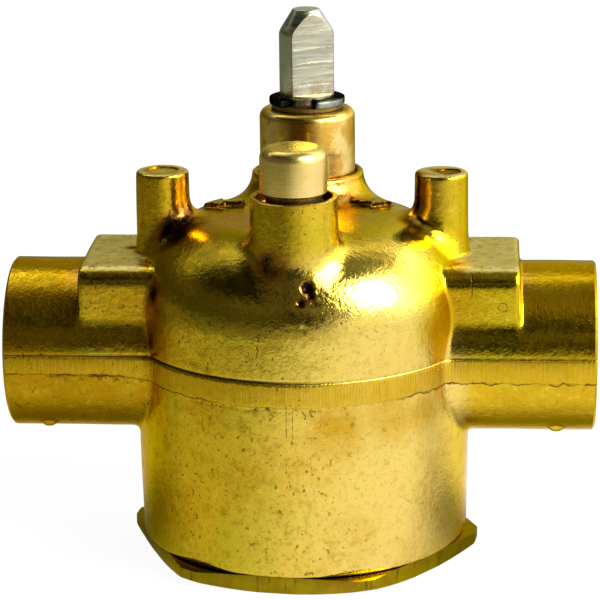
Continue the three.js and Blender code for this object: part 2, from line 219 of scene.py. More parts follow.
# ------------------------------------------------------------------ the forging as a distance field
def soft_union(a, b, k):
    h = np.maximum(k - np.abs(a - b), 0) / k
    return np.minimum(a, b) - h * h * k * 0.25


def soft_cut(a, b, k):
    return -soft_union(-a, -b, k)


def rounded_corner(a, b, radius):
    """Two sides that meet in a rounded edge, each given by its distance past the edge's centre line."""
    return np.hypot(np.maximum(a, 0), np.maximum(b, 0)) + np.minimum(np.maximum(a, b), 0) - radius


WAVES = [
    (rng.normal(size=3) / length, phase, length)
    for length, phase in zip((1.1, 1.4, 1.9, 2.4, 3.1, 4.3), rng.uniform(0, 6.28, 6))
]


def ripple(x, y, z):
    """Slow waviness of a forged surface, about -1 to 1."""
    total = 0
    for (kx, ky, kz), phase, length in WAVES:
        total = total + np.sin(kx * x + ky * y + kz * z + phase) * length
    return total / 8


def port_arrow(u, v):
    """Distance in the plane from a plain arrow that points along +u."""
    head = np.maximum(0.1 - u, ((u - 2.4) * 1.8 + np.abs(v) * 2.3) / math.hypot(1.8, 2.3))
    shaft = np.maximum(np.abs(u + 1.0) - 1.3, np.abs(v) - 0.62)
    return np.minimum(head, shaft)


# Middle and turn of each port's arrow on the dome.
MARKS = ((-9.2, 3.4, math.pi + 0.12), (7.7, 4.2, -0.12))


def port_marks(x, y):
    """Plan distance to the two raised port arrows on the dome."""
    distance = None
    for cx, cy, turn in MARKS:
        c, s = math.cos(turn), math.sin(turn)
        d = port_arrow(c * (x - cx) + s * (y - cy), -s * (x - cx) + c * (y - cy))
        distance = d if distance is None else np.minimum(distance, d)
    return distance


FLASH_TOP = 1.0
FLASH_FOOT = -1.72


def flash_foot(x):
    """Height of the flash's ragged lower edge over the ports' axis: it climbs towards the end of port A."""
    climb = np.clip((-x - 17) / 4, 0, 1) * 0.6
    wander = 0.05 * np.sin(1.9 * x + 1), 0.04 * np.sin(4.3 * x), 0.03 * np.sin(9.1 * x + 2)
    return FLASH_FOOT + climb + wander[0] + wander[1] + wander[2]


def flash_band(x, h, soft=0.14):
    """1 on the flash, 0 above and below it."""
    top = np.clip((FLASH_TOP - h) / soft + 0.5, 0, 1)
    foot = np.clip((h - flash_foot(x)) / soft + 0.5, 0, 1)
    return top * foot


def flash_height(x, y):
    """How far the flash stands out: less on the right of the front."""
    bearing = np.degrees(np.arctan2(x, -y))
    return 0.10 - 0.065 * np.clip((bearing - 5) / 25, 0, 1) * np.clip((110 - bearing) / 20, 0, 1)


def flash_creases(x, y, h):
    """Depth of the flash's folds, 0 to 1: a clean one above, deepest at the left, and a torn one below."""
    bearing = np.degrees(np.arctan2(x, -y))
    left = np.clip((bearing + 75) / 20, 0, 1) * np.clip((12 - bearing) / 26, 0, 1)
    above = np.exp(-((h - FLASH_TOP - 0.1) / 0.16) ** 2) * (0.35 + 0.65 * left)
    below = np.exp(-((h - flash_foot(x) + 0.08) / 0.14) ** 2) * (0.5 + 0.4 * np.sin(1.3 * x + 0.7 * y))
    return np.maximum(above, below)


def dome(x, y, z):
    """Signed distance to the barrel with its domed top."""
    h = z - AXIS_Z
    rho = np.hypot(x, y)
    radial = rho - (BARREL_R + BARREL_DRAFT * np.minimum(h, 0) - SHOULDER_R)
    upward = z + 0.0012 * rho * rho - (DOME_TOP + 0.06 - SHOULDER_R)
    return soft_cut(rounded_corner(radial, upward, SHOULDER_R), BARREL_FOOT - z, 0.7)


def forging(x, y, z):
    """Signed distance to the forging's outside, with every machined hole still solid."""
    h = z - AXIS_Z
    shell = dome(x, y, z)
    arrows = soft_cut(port_marks(x, y), np.maximum(shell - 0.55, -2 - shell), 0.25)
    posts = np.hypot(np.abs(x) - POST_X, y) - (POST_R + 0.012 * (LEDGE_Z - z))
    posts = soft_cut(posts, z - LEDGE_Z, 0.45)
    posts = np.maximum(posts, AXIS_Z + 4 - z)
    shell = soft_union(shell, posts, 2.6)
    boss = np.hypot(x, y - BOSS_Y) - (BOSS_R + 0.035 * (LEDGE_Z - z))
    boss = np.maximum(np.maximum(boss, z - LEDGE_Z - 0.6), AXIS_Z + 4 - z)
    shell = soft_union(shell, boss, 1.7)
    collar = np.hypot(x, y - STEM_Y) - COLLAR_R
    collar = np.maximum(np.maximum(collar, z - COLLAR_TOP - 0.6), AXIS_Z + 4 - z)
    shell = soft_union(shell, collar, 3.4)
    ports = np.maximum(np.hypot(y, h) - PORT_R, np.abs(x) - HALF_SPAN - 0.6)
    side, top = np.abs(y) - PAD_HALF_DEPTH + PAD_EDGE_R, h - PAD_TOP + PAD_EDGE_R
    pads = soft_cut(rounded_corner(side, top, PAD_EDGE_R), np.abs(x) - PAD_END, 0.7)
    pads = np.maximum(pads, 1 - h)
    ports = soft_union(ports, pads, 0.45)
    lugs = np.sqrt((np.abs(x) - 29) ** 2 + ((y + 5.1) * 1.6) ** 2 + ((h + 8.25) * 1.8) ** 2) - 0.85
    ports = soft_union(ports, lugs / 1.8, 0.25)
    shell = soft_union(shell, ports, 0.9 - 0.5 * np.clip(h / 3, 0, 1))
    shell = soft_union(shell, arrows, 0.3)
    calm = np.clip((LEDGE_Z - 0.5 - z) / 3, 0, 1)
    shell = shell - 0.035 * ripple(x, y, z) * calm - flash_height(x, y) * flash_band(x, h)
    return shell + 0.11 * flash_creases(x, y, h)


def surface_net(field, low, high, step):
    """A quad mesh of field = 0: one point in each cell that the surface crosses."""
    axes = [np.arange(lo, hi + step, step, dtype=np.float32) for lo, hi in zip(low, high)]
    values = field(axes[0][:, None, None], axes[1][None, :, None], axes[2][None, None, :]).astype(np.float32)
    shape = np.array(values.shape)
    inside = values < 0
    corner_ids, corner_points, quads = [], [], []
    for axis in range(3):
        low_side = [slice(None)] * 3
        high_side = [slice(None)] * 3
        low_side[axis], high_side[axis] = slice(0, -1), slice(1, None)
        low_side, high_side = tuple(low_side), tuple(high_side)
        at = np.argwhere(inside[low_side] != inside[high_side])
        v0 = values[low_side][tuple(at.T)]
        v1 = values[high_side][tuple(at.T)]
        point = at.astype(float)
        point[:, axis] += v0 / (v0 - v1)
        side, up = (axis + 1) % 3, (axis + 2) % 3
        ring = []
        for ds, du in ((-1, -1), (0, -1), (0, 0), (-1, 0)):
            cell = at.copy()
            cell[:, side] += ds
            cell[:, up] += du
            ring.append((cell[:, 0] * shape[1] + cell[:, 1]) * shape[2] + cell[:, 2])
        ring = np.stack(ring, 1)
        outwards = v0 < 0
        quads.append(np.where(outwards[:, None], ring, ring[:, ::-1]))
        corner_ids.append(ring.ravel())
        corner_points.append(np.repeat(point, 4, axis=0))
    ids, index = np.unique(np.concatenate(corner_ids), return_inverse=True)
    weight = np.bincount(index)
    gathered = np.concatenate(corner_points)
    points = np.stack([np.bincount(index, gathered[:, k]) / weight for k in range(3)], 1)
    faces = np.searchsorted(ids, np.concatenate(quads))
    return points * step + np.array([a[0] for a in axes], float), faces


def gradient(field, p, reach=0.02):
    """The field's slope at each point."""
    parts = []
    for k in range(3):
        offset = np.zeros(3)
        offset[k] = reach
        parts.append(field(*(p + offset).T) - field(*(p - offset).T))
    return np.stack(parts, 1) / (2 * reach)


def stepped_to(field, points, level, longest):
    """The points, one step nearer to where the field has the given level."""
    slope = gradient(field, points)
    size = np.maximum((slope ** 2).sum(1), 0.05)[:, None]
    return points - np.clip((field(*points.T) - level)[:, None] / size * slope, -longest, longest)


def settle(field, points, faces, rounds=3):
    """Evens out the points along the surface and puts them exactly on it."""
    ends = np.concatenate([faces[:, [k, (k + 1) % 4]] for k in range(4)])
    a, b = np.concatenate([ends, ends[:, ::-1]]).T
    degree = np.bincount(a, minlength=len(points))[:, None]
    for _ in range(rounds):
        mean = np.stack([np.bincount(a, points[b, k], minlength=len(points)) for k in range(3)], 1) / degree
        points = points + 0.5 * (mean - points)
        for _ in range(2):
            points = stepped_to(field, points, 0, 0.3)
    return points


# Listed pits: x, y, z, radius and depth.
PITS = (
    (1.7, -17.5, 35.2, 0.55, 0.34),
    (2.1, -18.0, 34.5, 0.40, 0.24),
    (1.0, -18.4, 33.8, 0.38, 0.22),
    (2.5, -18.4, 33.8, 0.36, 0.20),
    (-6.6, -17.6, 34.6, 0.40, 0.18),
    (-5.9, -17.9, 34.3, 0.30, 0.12),
)


def random_dents(count):
    """Small blows all round the valve: a point near the skin, its radius and its depth."""
    bearing = rng.uniform(0, 2 * math.pi, count)
    height = rng.uniform(4, 38, count)
    reach = np.where(height > 30, BARREL_R - (height - 30) ** 2 * 0.12, BARREL_R)
    radius, depth = rng.uniform(0.3, 0.9, count), rng.uniform(0.015, 0.06, count)
    return np.stack([reach * np.sin(bearing), -reach * np.cos(bearing), height, radius, depth], 1)


def dent(points, field):
    """Pushes the skin in at each pit and dent."""
    slope = gradient(field, points)
    inward = -slope / np.linalg.norm(slope, axis=1)[:, None]
    push = np.zeros(len(points))
    for x, y, z, radius, depth in [*PITS, *random_dents(90)]:
        near = ((points - (x, y, z)) ** 2).sum(1) / radius ** 2
        push = np.maximum(push, depth * np.exp(-near ** 2))
    return points + inward * push[:, None]


def socket_cutter(name, side):
    """What is cut out of one port: its bore, its tube socket, and all that is past its face."""
    floor, edge = HALF_SPAN - SOCKET_DEPTH, HALF_SPAN - 0.4
    profile = [(0, 12), (BORE_R, 12), (BORE_R, floor), (SOCKET_R, floor), (SOCKET_R, HALF_SPAN - 0.35),
               (SOCKET_R + 0.3, HALF_SPAN), (PORT_R - 0.3, HALF_SPAN), (PORT_R + 0.15, edge), (12, edge),
               (12, HALF_SPAN + 2), (0, HALF_SPAN + 2)]
    return lathe(name, [(r, along * side) for r, along in profile], axis="X")


def chamber_cutter():
    profile = [(0, -1), (THREAD_R, -1), (THREAD_R, THREAD_TOP), (CHAMBER_R, THREAD_TOP),
               (CHAMBER_R, CHAMBER_TOP, 7.3), (0, CHAMBER_TOP)]
    return lathe("cut_chamber", profile, steps=16)


def pin_hole_cutter():
    """The pin's hole in the boss, the groove round it and what is above the boss's lip."""
    rim = [(2.72, -1.3), (4.0, -1.3), (4.18, -1.1), (4.18, -0.12), (4.28, 0), (4.68, 0), (4.95, -0.22),
           (6.5, -0.22), (6.5, 3), (0, 3)]
    profile = [(0, 38.9), (2.72, 38.9)] + [(r, LEDGE_Z + up) for r, up in rim]
    return lathe("cut_pin", profile, 96, centre=(0, BOSS_Y))


def sleeve_hole_cutter():
    """The sleeve's hole in the collar, and what is above the collar's rim."""
    rim = [(5.02, -2.2), (5.72, -2.2), (5.72, -0.2), (5.9, 0, 0.1), (6.3, 0, 0.1), (6.62, -0.3), (8, -0.3),
           (8, 3), (0, 3)]
    profile = [(0, 33), (5.02, 33)] + [(r, COLLAR_TOP + up, *radius) for r, up, *radius in rim]
    return lathe("cut_collar", profile, 96, centre=(0, STEM_Y))


def post_dish_cutter(x, radius):
    foot, top = LEDGE_Z - 0.12, LEDGE_Z + 1
    dish = [(0, foot), (radius, foot), (radius + 0.1, top), (0, top)]
    return lathe("cut_post", dish, 48, centre=(x, 0))


def make_forging():
    step = 0.25
    low = np.array([-HALF_SPAN - 1.3, -BARREL_R - 1, BARREL_FOOT - 1])
    high = np.array([HALF_SPAN + 1.3, BARREL_R + 1, LEDGE_Z + 1.6])
    points, faces = surface_net(forging, low, high, step)
    points = dent(settle(forging, points, faces), forging)
    obj = mesh_object("forged_body", points, faces, 60)
    modifier = obj.modifiers.new("thin", "DECIMATE")
    modifier.ratio = 0.42
    bake_modifiers(obj)
    carve(obj, [
        socket_cutter("cut_port_a", -1),
        socket_cutter("cut_port_b", 1),
        chamber_cutter(),
        pin_hole_cutter(),
        sleeve_hole_cutter(),
        post_dish_cutter(-POST_X - 0.05, 1.9),
        post_dish_cutter(POST_X + 0.85, 1.35),
    ])
    shade(obj, 38)
    return obj


# ------------------------------------------------------------------ material helpers
def rgb(r, g, b):
    return (r, g, b, 1.0)


class Nodes:
    """Short calls for building the node tree of a world or a material."""

    def __init__(self, owner):
        owner.use_nodes = True
        self.tree = owner.node_tree

    def new(self, kind, **settings):
        node = self.tree.nodes.new(kind)
        for key, value in settings.items():
            setattr(node, key, value)
        return node

    def feed(self, socket, value):
        if isinstance(value, bpy.types.NodeSocket):
            self.tree.links.new(value, socket)
        else:
            socket.default_value = value

    def ramp(self, value, low, high, start=0.0, end=1.0):
        node = self.new("ShaderNodeMapRange", interpolation_type="SMOOTHSTEP")
        self.feed(node.inputs["Value"], value)
        for key, number in (("From Min", low), ("From Max", high), ("To Min", start), ("To Max", end)):
            node.inputs[key].default_value = number
        return node.outputs["Result"]

    def math(self, operation, a, b=0.0, clamp=False):
        node = self.new("ShaderNodeMath", operation=operation, use_clamp=clamp)
        self.feed(node.inputs[0], a)
        self.feed(node.inputs[1], b)
        return node.outputs["Value"]

    def chain(self, operation, values):
        result = values[0]
        for value in values[1:]:
            result = self.math(operation, result, value)
        return result

    def times(self, *factors):
        return self.chain("MULTIPLY", factors)

    def plus(self, *terms):
        return self.chain("ADD", terms)

    def most(self, *values):
        return self.chain("MAXIMUM", values)

    def minus(self, a, b):
        return self.math("SUBTRACT", a, b)

    def absolute(self, value):
        return self.math("ABSOLUTE", value)

    def length(self, u, v):
        return self.math("SQRT", self.plus(self.times(u, u), self.times(v, v)))

    def line(self, value, middle, half_width):
        """1 on the line where value is middle, 0 a little further off."""
        return self.ramp(self.absolute(self.minus(value, middle)), half_width * 0.4, half_width, 1, 0)

    def mix(self, factor, a, b):
        node = self.new("ShaderNodeMix", data_type="RGBA")
        self.feed(node.inputs["Factor"], factor)
        self.feed(node.inputs["A"], a)
        self.feed(node.inputs["B"], b)
        return node.outputs["Result"]

    def split(self, vector):
        node = self.new("ShaderNodeSeparateXYZ")
        self.feed(node.inputs["Vector"], vector)
        return node.outputs

    def joined(self, x, y, z):
        node = self.new("ShaderNodeCombineXYZ")
        for key, value in zip("XYZ", (x, y, z)):
            self.feed(node.inputs[key], value)
        return node.outputs["Vector"]


class Finish(Nodes):
    """A material's node tree. Its place on the piece, and so every noise's scale, is in millimetres."""

    def __init__(self, name):
        self.material = bpy.data.materials.new(name)
        super().__init__(self.material)
        self.shader = self.tree.nodes["Principled BSDF"]
        scaled = self.new("ShaderNodeVectorMath", operation="SCALE")
        self.feed(scaled.inputs[0], self.new("ShaderNodeTexCoord").outputs["Object"])
        scaled.inputs["Scale"].default_value = 1 / MM
        self.place = scaled.outputs["Vector"]

    def mapped(self, kind, **values):
        node = self.new("ShaderNodeMapping", vector_type=kind)
        self.feed(node.inputs["Vector"], self.place)
        for key, value in values.items():
            node.inputs[key].default_value = value
        return node.outputs["Vector"]

    def streaked(self, rotation, stretch):
        """The place turned, then drawn out along its own axes."""
        return self.mapped("TEXTURE", Rotation=rotation, Scale=stretch)

    def noise(self, scale, detail=3.0, roughness=0.55, vector=None):
        node = self.new("ShaderNodeTexNoise")
        self.feed(node.inputs["Vector"], vector or self.place)
        node.inputs["Scale"].default_value = scale
        node.inputs["Detail"].default_value = detail
        node.inputs["Roughness"].default_value = roughness
        return node.outputs["Fac"]

    def clouds(self, scale, detail, roughness, low, high, start=0.0, end=1.0, vector=None):
        """Noise, spread out between two of its levels."""
        return self.ramp(self.noise(scale, detail, roughness, vector), low, high, start, end)

    def attribute(self, name):
        return self.new("ShaderNodeAttribute", attribute_name=name).outputs["Fac"]

    def patch(self, name, scale, detail, roughness, low, high, least):
        """A painted area, broken up by clouds."""
        return self.times(self.attribute(name), self.clouds(scale, detail, roughness, low, high, least))

    def bump(self, height, distance, strength=1.0, after=None):
        node = self.new("ShaderNodeBump")
        node.inputs["Distance"].default_value = distance
        node.inputs["Strength"].default_value = strength
        self.feed(node.inputs["Height"], height)
        if after:
            self.feed(node.inputs["Normal"], after)
        return node.outputs["Normal"]

    def finish(self, color, roughness, normal=None, metallic=1.0, **constants):
        self.feed(self.shader.inputs["Base Color"], color)
        self.feed(self.shader.inputs["Roughness"], roughness)
        self.shader.inputs["Metallic"].default_value = metallic
        if normal:
            self.feed(self.shader.inputs["Normal"], normal)
        for key, value in constants.items():
            self.shader.inputs[key.replace("_", " ")].default_value = value
        return self.material


# ------------------------------------------------------------------ brass out of the die
# What brass still reflects when it is seen edge on.
EDGE_TINT = rgb(0.92, 0.80, 0.38)
OLIVE = rgb(0.58, 0.45, 0.008)
GOLD = rgb(0.70, 0.45, 0.010)
# Painted light: the paler gold of the side towards port B, as if lit from there.
LIT_SIDE_GOLD = rgb(0.84, 0.62, 0.11)
WARM_BROWN = rgb(0.57, 0.31, 0.005)
DULL_OLIVE = rgb(0.27, 0.19, 0.012)
COPPER_RED = rgb(0.58, 0.26, 0.08)
PALE_TOP = rgb(0.78, 0.67, 0.24)
# Stain colours, brown and then near black, that also paint shade in the forging's hollows and holes.
HEAT_BROWN_AND_SHADE = rgb(0.50, 0.21, 0.02)
SOOT_AND_SHADE = rgb(0.016, 0.006, 0.005)


def forged_color(n, x, z, mottle, warm_spots):
    """Olive to gold clouds, painted light that makes the body paler towards port B, warm patches and fine
    dark and pale mottling.
    """
    color = n.mix(n.clouds(0.095, 3, 0.55, 0.38, 0.62), OLIVE, GOLD)
    # Painted light: the colour turns paler gold towards port B, as if lit from that side, but not on the
    # dome's top, past the start of the right pad or on the wall over the flash on the right.
    over_flash = n.ramp(z, AXIS_Z + 2, AXIS_Z + 5)
    right_wall = n.times(over_flash, n.ramp(x, 12, 16))
    painted_light_right = n.times(n.ramp(x, -12, 12, 0.1, 0.9), n.ramp(x, 17.5, 20, 1, 0.05), n.minus(1.0, right_wall),
                   n.ramp(z, 37, 40, 1, 0.15))
    color = n.mix(painted_light_right, color, LIT_SIDE_GOLD)
    color = n.mix(warm_spots, color, WARM_BROWN)
    stale = n.times(n.ramp(mottle, 0.50, 0.68, 0, 0.6), n.ramp(x, -4, 12, 1, 0.45))
    color = n.mix(stale, color, rgb(0.36, 0.25, 0.008))
    speckle = n.times(n.clouds(2.3, 4, 0.65, 0.52, 0.68, 0, 0.5), n.ramp(x, -4, 12, 1, 0.5))
    color = n.mix(speckle, color, rgb(0.30, 0.21, 0.006))
    return n.mix(n.ramp(mottle, 0.30, 0.45, 0.5, 0), color, rgb(0.80, 0.62, 0.06))


def forged_marks(n, x):
    """Pits, nicks and scratches, 0 to 1, fewer towards port B."""
    pits = n.times(n.clouds(2.7, 2, 0.5, 0.62, 0.70), n.clouds(0.23, 4, 0.6, 0.50, 0.62))
    nicks = n.times(n.clouds(2.3, 1, 0.5, 0.66, 0.72, vector=n.streaked((0.5, 0.35, 0.0), (1, 1, 5))),
                    n.clouds(0.17, 3, 0.6, 0.48, 0.58))
    slants = n.times(n.clouds(2.0, 1, 0.5, 0.68, 0.73, vector=n.streaked((0.4, -0.9, 0.5), (1, 1, 11))),
                     n.clouds(0.13, 2, 0.55, 0.46, 0.56))
    return n.times(n.most(pits, nicks, slants), n.ramp(x, -2, 13, 1, 0.3))


def front_marks(n, x, y, z):
    """Marks on the front: two upright scratches, a nick over the right pad's edge, a small punched ring."""
    front = n.ramp(y, -8, -7.4, 1, 0)
    lines = n.most(n.line(x, -0.62, 0.09), n.line(x, 0.06, 0.07))
    run = n.times(n.ramp(z, AXIS_Z - 5.6, AXIS_Z - 4.6), n.ramp(z, 22.1, 22.5, 1, 0))
    scratches = n.times(lines, run, n.clouds(1.7, 2, 0.55, 0.35, 0.5, 0.4, 0.9))
    nick = n.times(n.line(x, 19.4, 0.10), n.ramp(z, 31.7, 32.3), n.ramp(z, 36, 36.1, 1, 0))
    radius = n.length(n.minus(x, 22.8), n.minus(z, 30.7))
    ring = n.times(n.line(radius, 0.5, 0.11), n.clouds(1.5, 2, 0.55, 0.3, 0.5, 0.4, 0.8))
    return n.times(front, n.most(scratches, nick, ring))


def trim_streaks(n, x, y, z):
    """Upright streaks of the trimming tool."""
    return n.noise(3.3, 4, 0.7, n.joined(x, y, n.times(z, 0.06)))


def trimmed_color(n, streaks):
    return n.mix(n.ramp(streaks, 0.30, 0.70), rgb(0.55, 0.34, 0.006), rgb(0.64, 0.41, 0.018))


def flash_folds(n, x, z, flash, over_foot):
    """Dark folds of the flash: torn ones at its foot, deepest on port A, a clean one on top, laps below."""
    jitter = n.times(n.minus(n.noise(0.7, 5, 0.7), 0.5), 1.1)
    edge = n.plus(over_foot, jitter)
    deep = n.times(n.ramp(x, -28, -25), n.ramp(x, -19, -17.5, 1, 0))
    torn = n.most(n.line(edge, -0.06, 0.13), n.times(n.line(edge, -0.10, 0.24), deep))
    middle = n.ramp(n.absolute(x), 7, 13, 0.35, 1)
    torn = n.times(torn, flash, middle, n.clouds(0.33, 3, 0.55, 0.40, 0.55, 0.1, 0.85))
    fold = n.times(n.line(z, AXIS_Z + FLASH_TOP + 0.13, 0.24), n.attribute("fold"))
    lapped = n.times(n.ramp(x, -28, -26), n.ramp(x, -19.5, -18, 1, 0), flash)
    laps = n.times(n.clouds(2.1, 5, 0.75, 0.50, 0.60), n.line(over_foot, -0.38, 0.7), lapped)
    return n.most(torn, fold, n.times(laps, 0.7))


def forged_brass():
    n = Finish("forged_brass")
    x, y, z = n.split(n.place)
    mottle = n.noise(0.85, 6, 0.68)
    over_foot = n.attribute("over_foot")
    flash = n.attribute("flash")
    brown = n.attribute("brown")
    warm = n.math("ADD", n.clouds(0.11, 4, 0.6, 0.46, 0.72, 0, 0.35),
                  n.times(brown, n.clouds(0.26, 4, 0.6, 0.2, 0.6, 0.35)), clamp=True)
    dull = n.patch("dull", 0.3, 5, 0.65, 0.2, 0.6, 0.45)
    copper = n.patch("copper", 0.38, 4, 0.6, 0.25, 0.5, 0.3)
    pale = n.patch("pale", 0.5, 4, 0.6, 0.25, 0.6, 0.55)
    grime_and_shade = n.patch("stain_and_shade", 0.52, 5, 0.65, 0.25, 0.6, 0.45)
    scuffs = n.times(n.attribute("pale"),
                     n.clouds(1.5, 5, 0.7, 0.53, 0.64, vector=n.streaked((0, 0, 0.3), (1.8, 1, 1))))
    below_top = n.ramp(z, AXIS_Z + FLASH_TOP - 0.05, AXIS_Z + FLASH_TOP + 0.05, 1, 0)
    band = n.times(flash, below_top, n.ramp(over_foot, -0.06, 0.06))
    streaks = trim_streaks(n, x, y, z)
    marks = n.most(forged_marks(n, x), front_marks(n, x, y, z))
    folds = flash_folds(n, x, z, flash, over_foot)

    color = forged_color(n, x, z, mottle, warm)
    color = n.mix(dull, color, DULL_OLIVE)
    color = n.mix(copper, color, COPPER_RED)
    color = n.mix(pale, color, PALE_TOP)
    color = n.mix(n.times(scuffs, 0.55), color, rgb(0.15, 0.12, 0.03))
    color = n.mix(n.times(band, 0.7), color, trimmed_color(n, streaks))
    # Real stains and painted shade: brown, then near black, at the single stains and pits, in the dome's
    # hollows and creases, round its arrows, in the pin's and sleeve's holes and in the right post's dish.
    color = n.mix(n.ramp(grime_and_shade, 0.0, 0.5, 0, 0.75), color, HEAT_BROWN_AND_SHADE)
    color = n.mix(n.ramp(grime_and_shade, 0.3, 0.95), color, SOOT_AND_SHADE)
    color = n.mix(n.times(marks, 0.8), color, rgb(0.16, 0.10, 0.012))
    color = n.mix(n.times(folds, 0.92), color, rgb(0.04, 0.022, 0.006))
    rough = n.plus(n.ramp(mottle, 0.3, 0.7, 0.12, 0.21), n.times(pale, 0.25), n.times(band, 0.12),
                   n.times(dull, 0.14), n.times(brown, 0.07), n.times(folds, 0.3),
                   n.ramp(grime_and_shade, 0.4, 1.2, 0, 0.12))
    normal = n.bump(n.noise(1.15, 4, 0.6), 0.09 * MM, 0.7)
    normal = n.bump(n.noise(3.9, 3, 0.6), 0.028 * MM, 0.6, normal)
    normal = n.bump(marks, -0.01 * MM, 0.7, normal)
    normal = n.bump(n.times(streaks, band), 0.08 * MM, 0.8, normal)
    return n.finish(color, rough, normal, Specular_Tint=EDGE_TINT)


def trimmed_brass():
    n = Finish("trimmed_brass")
    streaks = trim_streaks(n, *n.split(n.place))
    stale = n.clouds(0.85, 5, 0.65, 0.5, 0.68, 0, 0.5)
    color = n.mix(stale, trimmed_color(n, streaks), rgb(0.36, 0.24, 0.01))
    rough = n.ramp(streaks, 0.3, 0.7, 0.24, 0.34)
    return n.finish(color, rough, n.bump(streaks, 0.03 * MM, 0.6), Specular_Tint=EDGE_TINT)


# ------------------------------------------------------------------ turned, milled and moulded finishes
def turned_metal(name, tint, dark, rough, centre, axis="Z", tarnish=None, ring_depth=0.01):
    """Metal off a lathe: fine rings about the piece's own axis, and a little uneven tarnish."""
    n = Finish(name)
    x, y, z = n.split(n.mapped("POINT", Location=[-c for c in centre]))
    along, u, v = (z, x, y) if axis == "Z" else (x, y, z)
    around = n.times(n.math("ARCTAN2", u, v), 0.12)
    rings = n.noise(8.0, 3, 0.65, n.joined(n.length(u, v), along, around))
    color = n.mix(n.clouds(0.32, 4, 0.6, 0.3, 0.7), tint, dark)
    color = n.mix(n.ramp(rings, 0.35, 0.75, 0, 0.12), color, dark)
    if tarnish:
        color = tarnish(n, color)
    roughness = n.plus(rough, n.ramp(rings, 0.3, 0.7, -0.02, 0.03))
    return n.finish(color, roughness, n.bump(rings, ring_depth * MM, 0.5), Specular_Tint=EDGE_TINT)


def sleeve_tarnish(n, color):
    """Brown heat marks on the sleeve: one large one at the front and smaller ones round it."""
    x, y, z = n.split(n.place)
    warm = n.clouds(0.33, 5, 0.65, 0.47, 0.60, 0, 0.8, n.streaked((0, 0, 0), (1, 1, 1.6)))
    color = n.mix(warm, color, rgb(0.60, 0.33, 0.03))
    near = n.times(n.clouds(0.42, 5, 0.65, 0.30, 0.45), n.ramp(y, STEM_Y - 3, STEM_Y - 1, 1, 0))
    across = n.times(n.ramp(x, -2.9, -1.2), n.ramp(x, 0.3, 2.2, 1, 0))
    height = n.times(n.ramp(z, 44.2, 45.6), n.ramp(z, 48.2, 49.2, 1, 0.3))
    color = n.mix(n.times(across, height, near), color, rgb(0.26, 0.11, 0.01))
    return n.mix(n.times(n.clouds(0.6, 5, 0.7, 0.56, 0.66), 0.65), color, rgb(0.26, 0.13, 0.02))


def plug_tarnish(n, color):
    """Brown blotches and short upright scratches round the plug's flange."""
    x, y, z = n.split(n.place)
    color = n.mix(n.clouds(0.26, 5, 0.65, 0.48, 0.64, 0, 0.75), color, rgb(0.30, 0.15, 0.008))
    upright = n.noise(1.5, 3, 0.6, n.joined(x, y, n.times(z, 0.15)))
    return n.mix(n.ramp(upright, 0.60, 0.68, 0, 0.6), color, rgb(0.10, 0.06, 0.005))


def milled_steel():
    """The stem: level cutter marks on its flat only, and brown stains at the flat's foot and tip."""
    n = Finish("stem_steel")
    x, y, z = n.split(n.place)
    mill = n.noise(1.7, 4, 0.7, n.joined(n.times(x, 0.06), n.times(y, 0.06), z))
    fine = n.noise(5.2, 3, 0.6, n.joined(n.times(x, 0.05), n.times(y, 0.05), z))
    facing = n.minus(n.times(x, math.sin(SWING)), n.times(n.minus(y, STEM_Y), math.cos(SWING)))
    on_flat = n.line(facing, STEM_FLAT, 0.2)
    color = n.mix(n.ramp(mill, 0.35, 0.65), rgb(0.54, 0.53, 0.30), rgb(0.33, 0.325, 0.18))
    color = n.mix(on_flat, rgb(0.52, 0.58, 0.40), color)
    color = n.mix(n.clouds(0.5, 4, 0.55, 0.5, 0.72, 0, 0.5), color, rgb(0.36, 0.31, 0.15))
    low = n.times(n.ramp(z, 51.4, 53.0, 1, 0), n.clouds(0.9, 4, 0.6, 0.4, 0.55))
    color = n.mix(n.times(low, 0.7), color, rgb(0.34, 0.22, 0.10))
    high = n.times(n.ramp(z, 57.0, 58.2), n.clouds(0.7, 4, 0.6, 0.42, 0.6))
    color = n.mix(n.times(high, 0.5), color, rgb(0.48, 0.36, 0.20))
    normal = n.bump(n.times(mill, on_flat), 0.05 * MM, 0.5)
    normal = n.bump(n.times(fine, on_flat), 0.02 * MM, 0.5, normal)
    return n.finish(color, n.ramp(fine, 0.3, 0.7, 0.22, 0.38), normal)


def black_oxide():
    """The clip: black, with a painted highlight, partly real rubbing, at its right end."""
    n = Finish("black_oxide")
    wear = n.noise(0.9, 4, 0.6)
    x, y, _ = n.split(n.place)
    color = n.mix(n.ramp(wear, 0.58, 0.75), rgb(0.02, 0.02, 0.018), rgb(0.09, 0.085, 0.075))
    # Painted highlight, partly real rubbing: the right front end is coloured light grey.
    rubbed_and_highlight = n.times(n.ramp(x, 1.2, 2.0), n.ramp(y, STEM_Y - 1.5, STEM_Y - 0.3, 1, 0))
    color = n.mix(n.times(rubbed_and_highlight, n.ramp(wear, 0.35, 0.5)), color, rgb(0.28, 0.30, 0.22))
    grain = n.bump(n.noise(2.5, 3), 0.02 * MM, 0.5)
    return n.finish(color, n.ramp(wear, 0.3, 0.7, 0.25, 0.42), grain, Specular_Tint=rgb(0.14, 0.14, 0.12))


def plain_metal(name, tint, dark, rough):
    n = Finish(name)
    fine = n.noise(3.2, 3, 0.6)
    color = n.mix(n.clouds(0.42, 4, 0.6, 0.35, 0.65), tint, dark)
    return n.finish(color, n.ramp(fine, 0.3, 0.7, rough - 0.05, rough + 0.08), n.bump(fine, 0.02 * MM, 0.5))


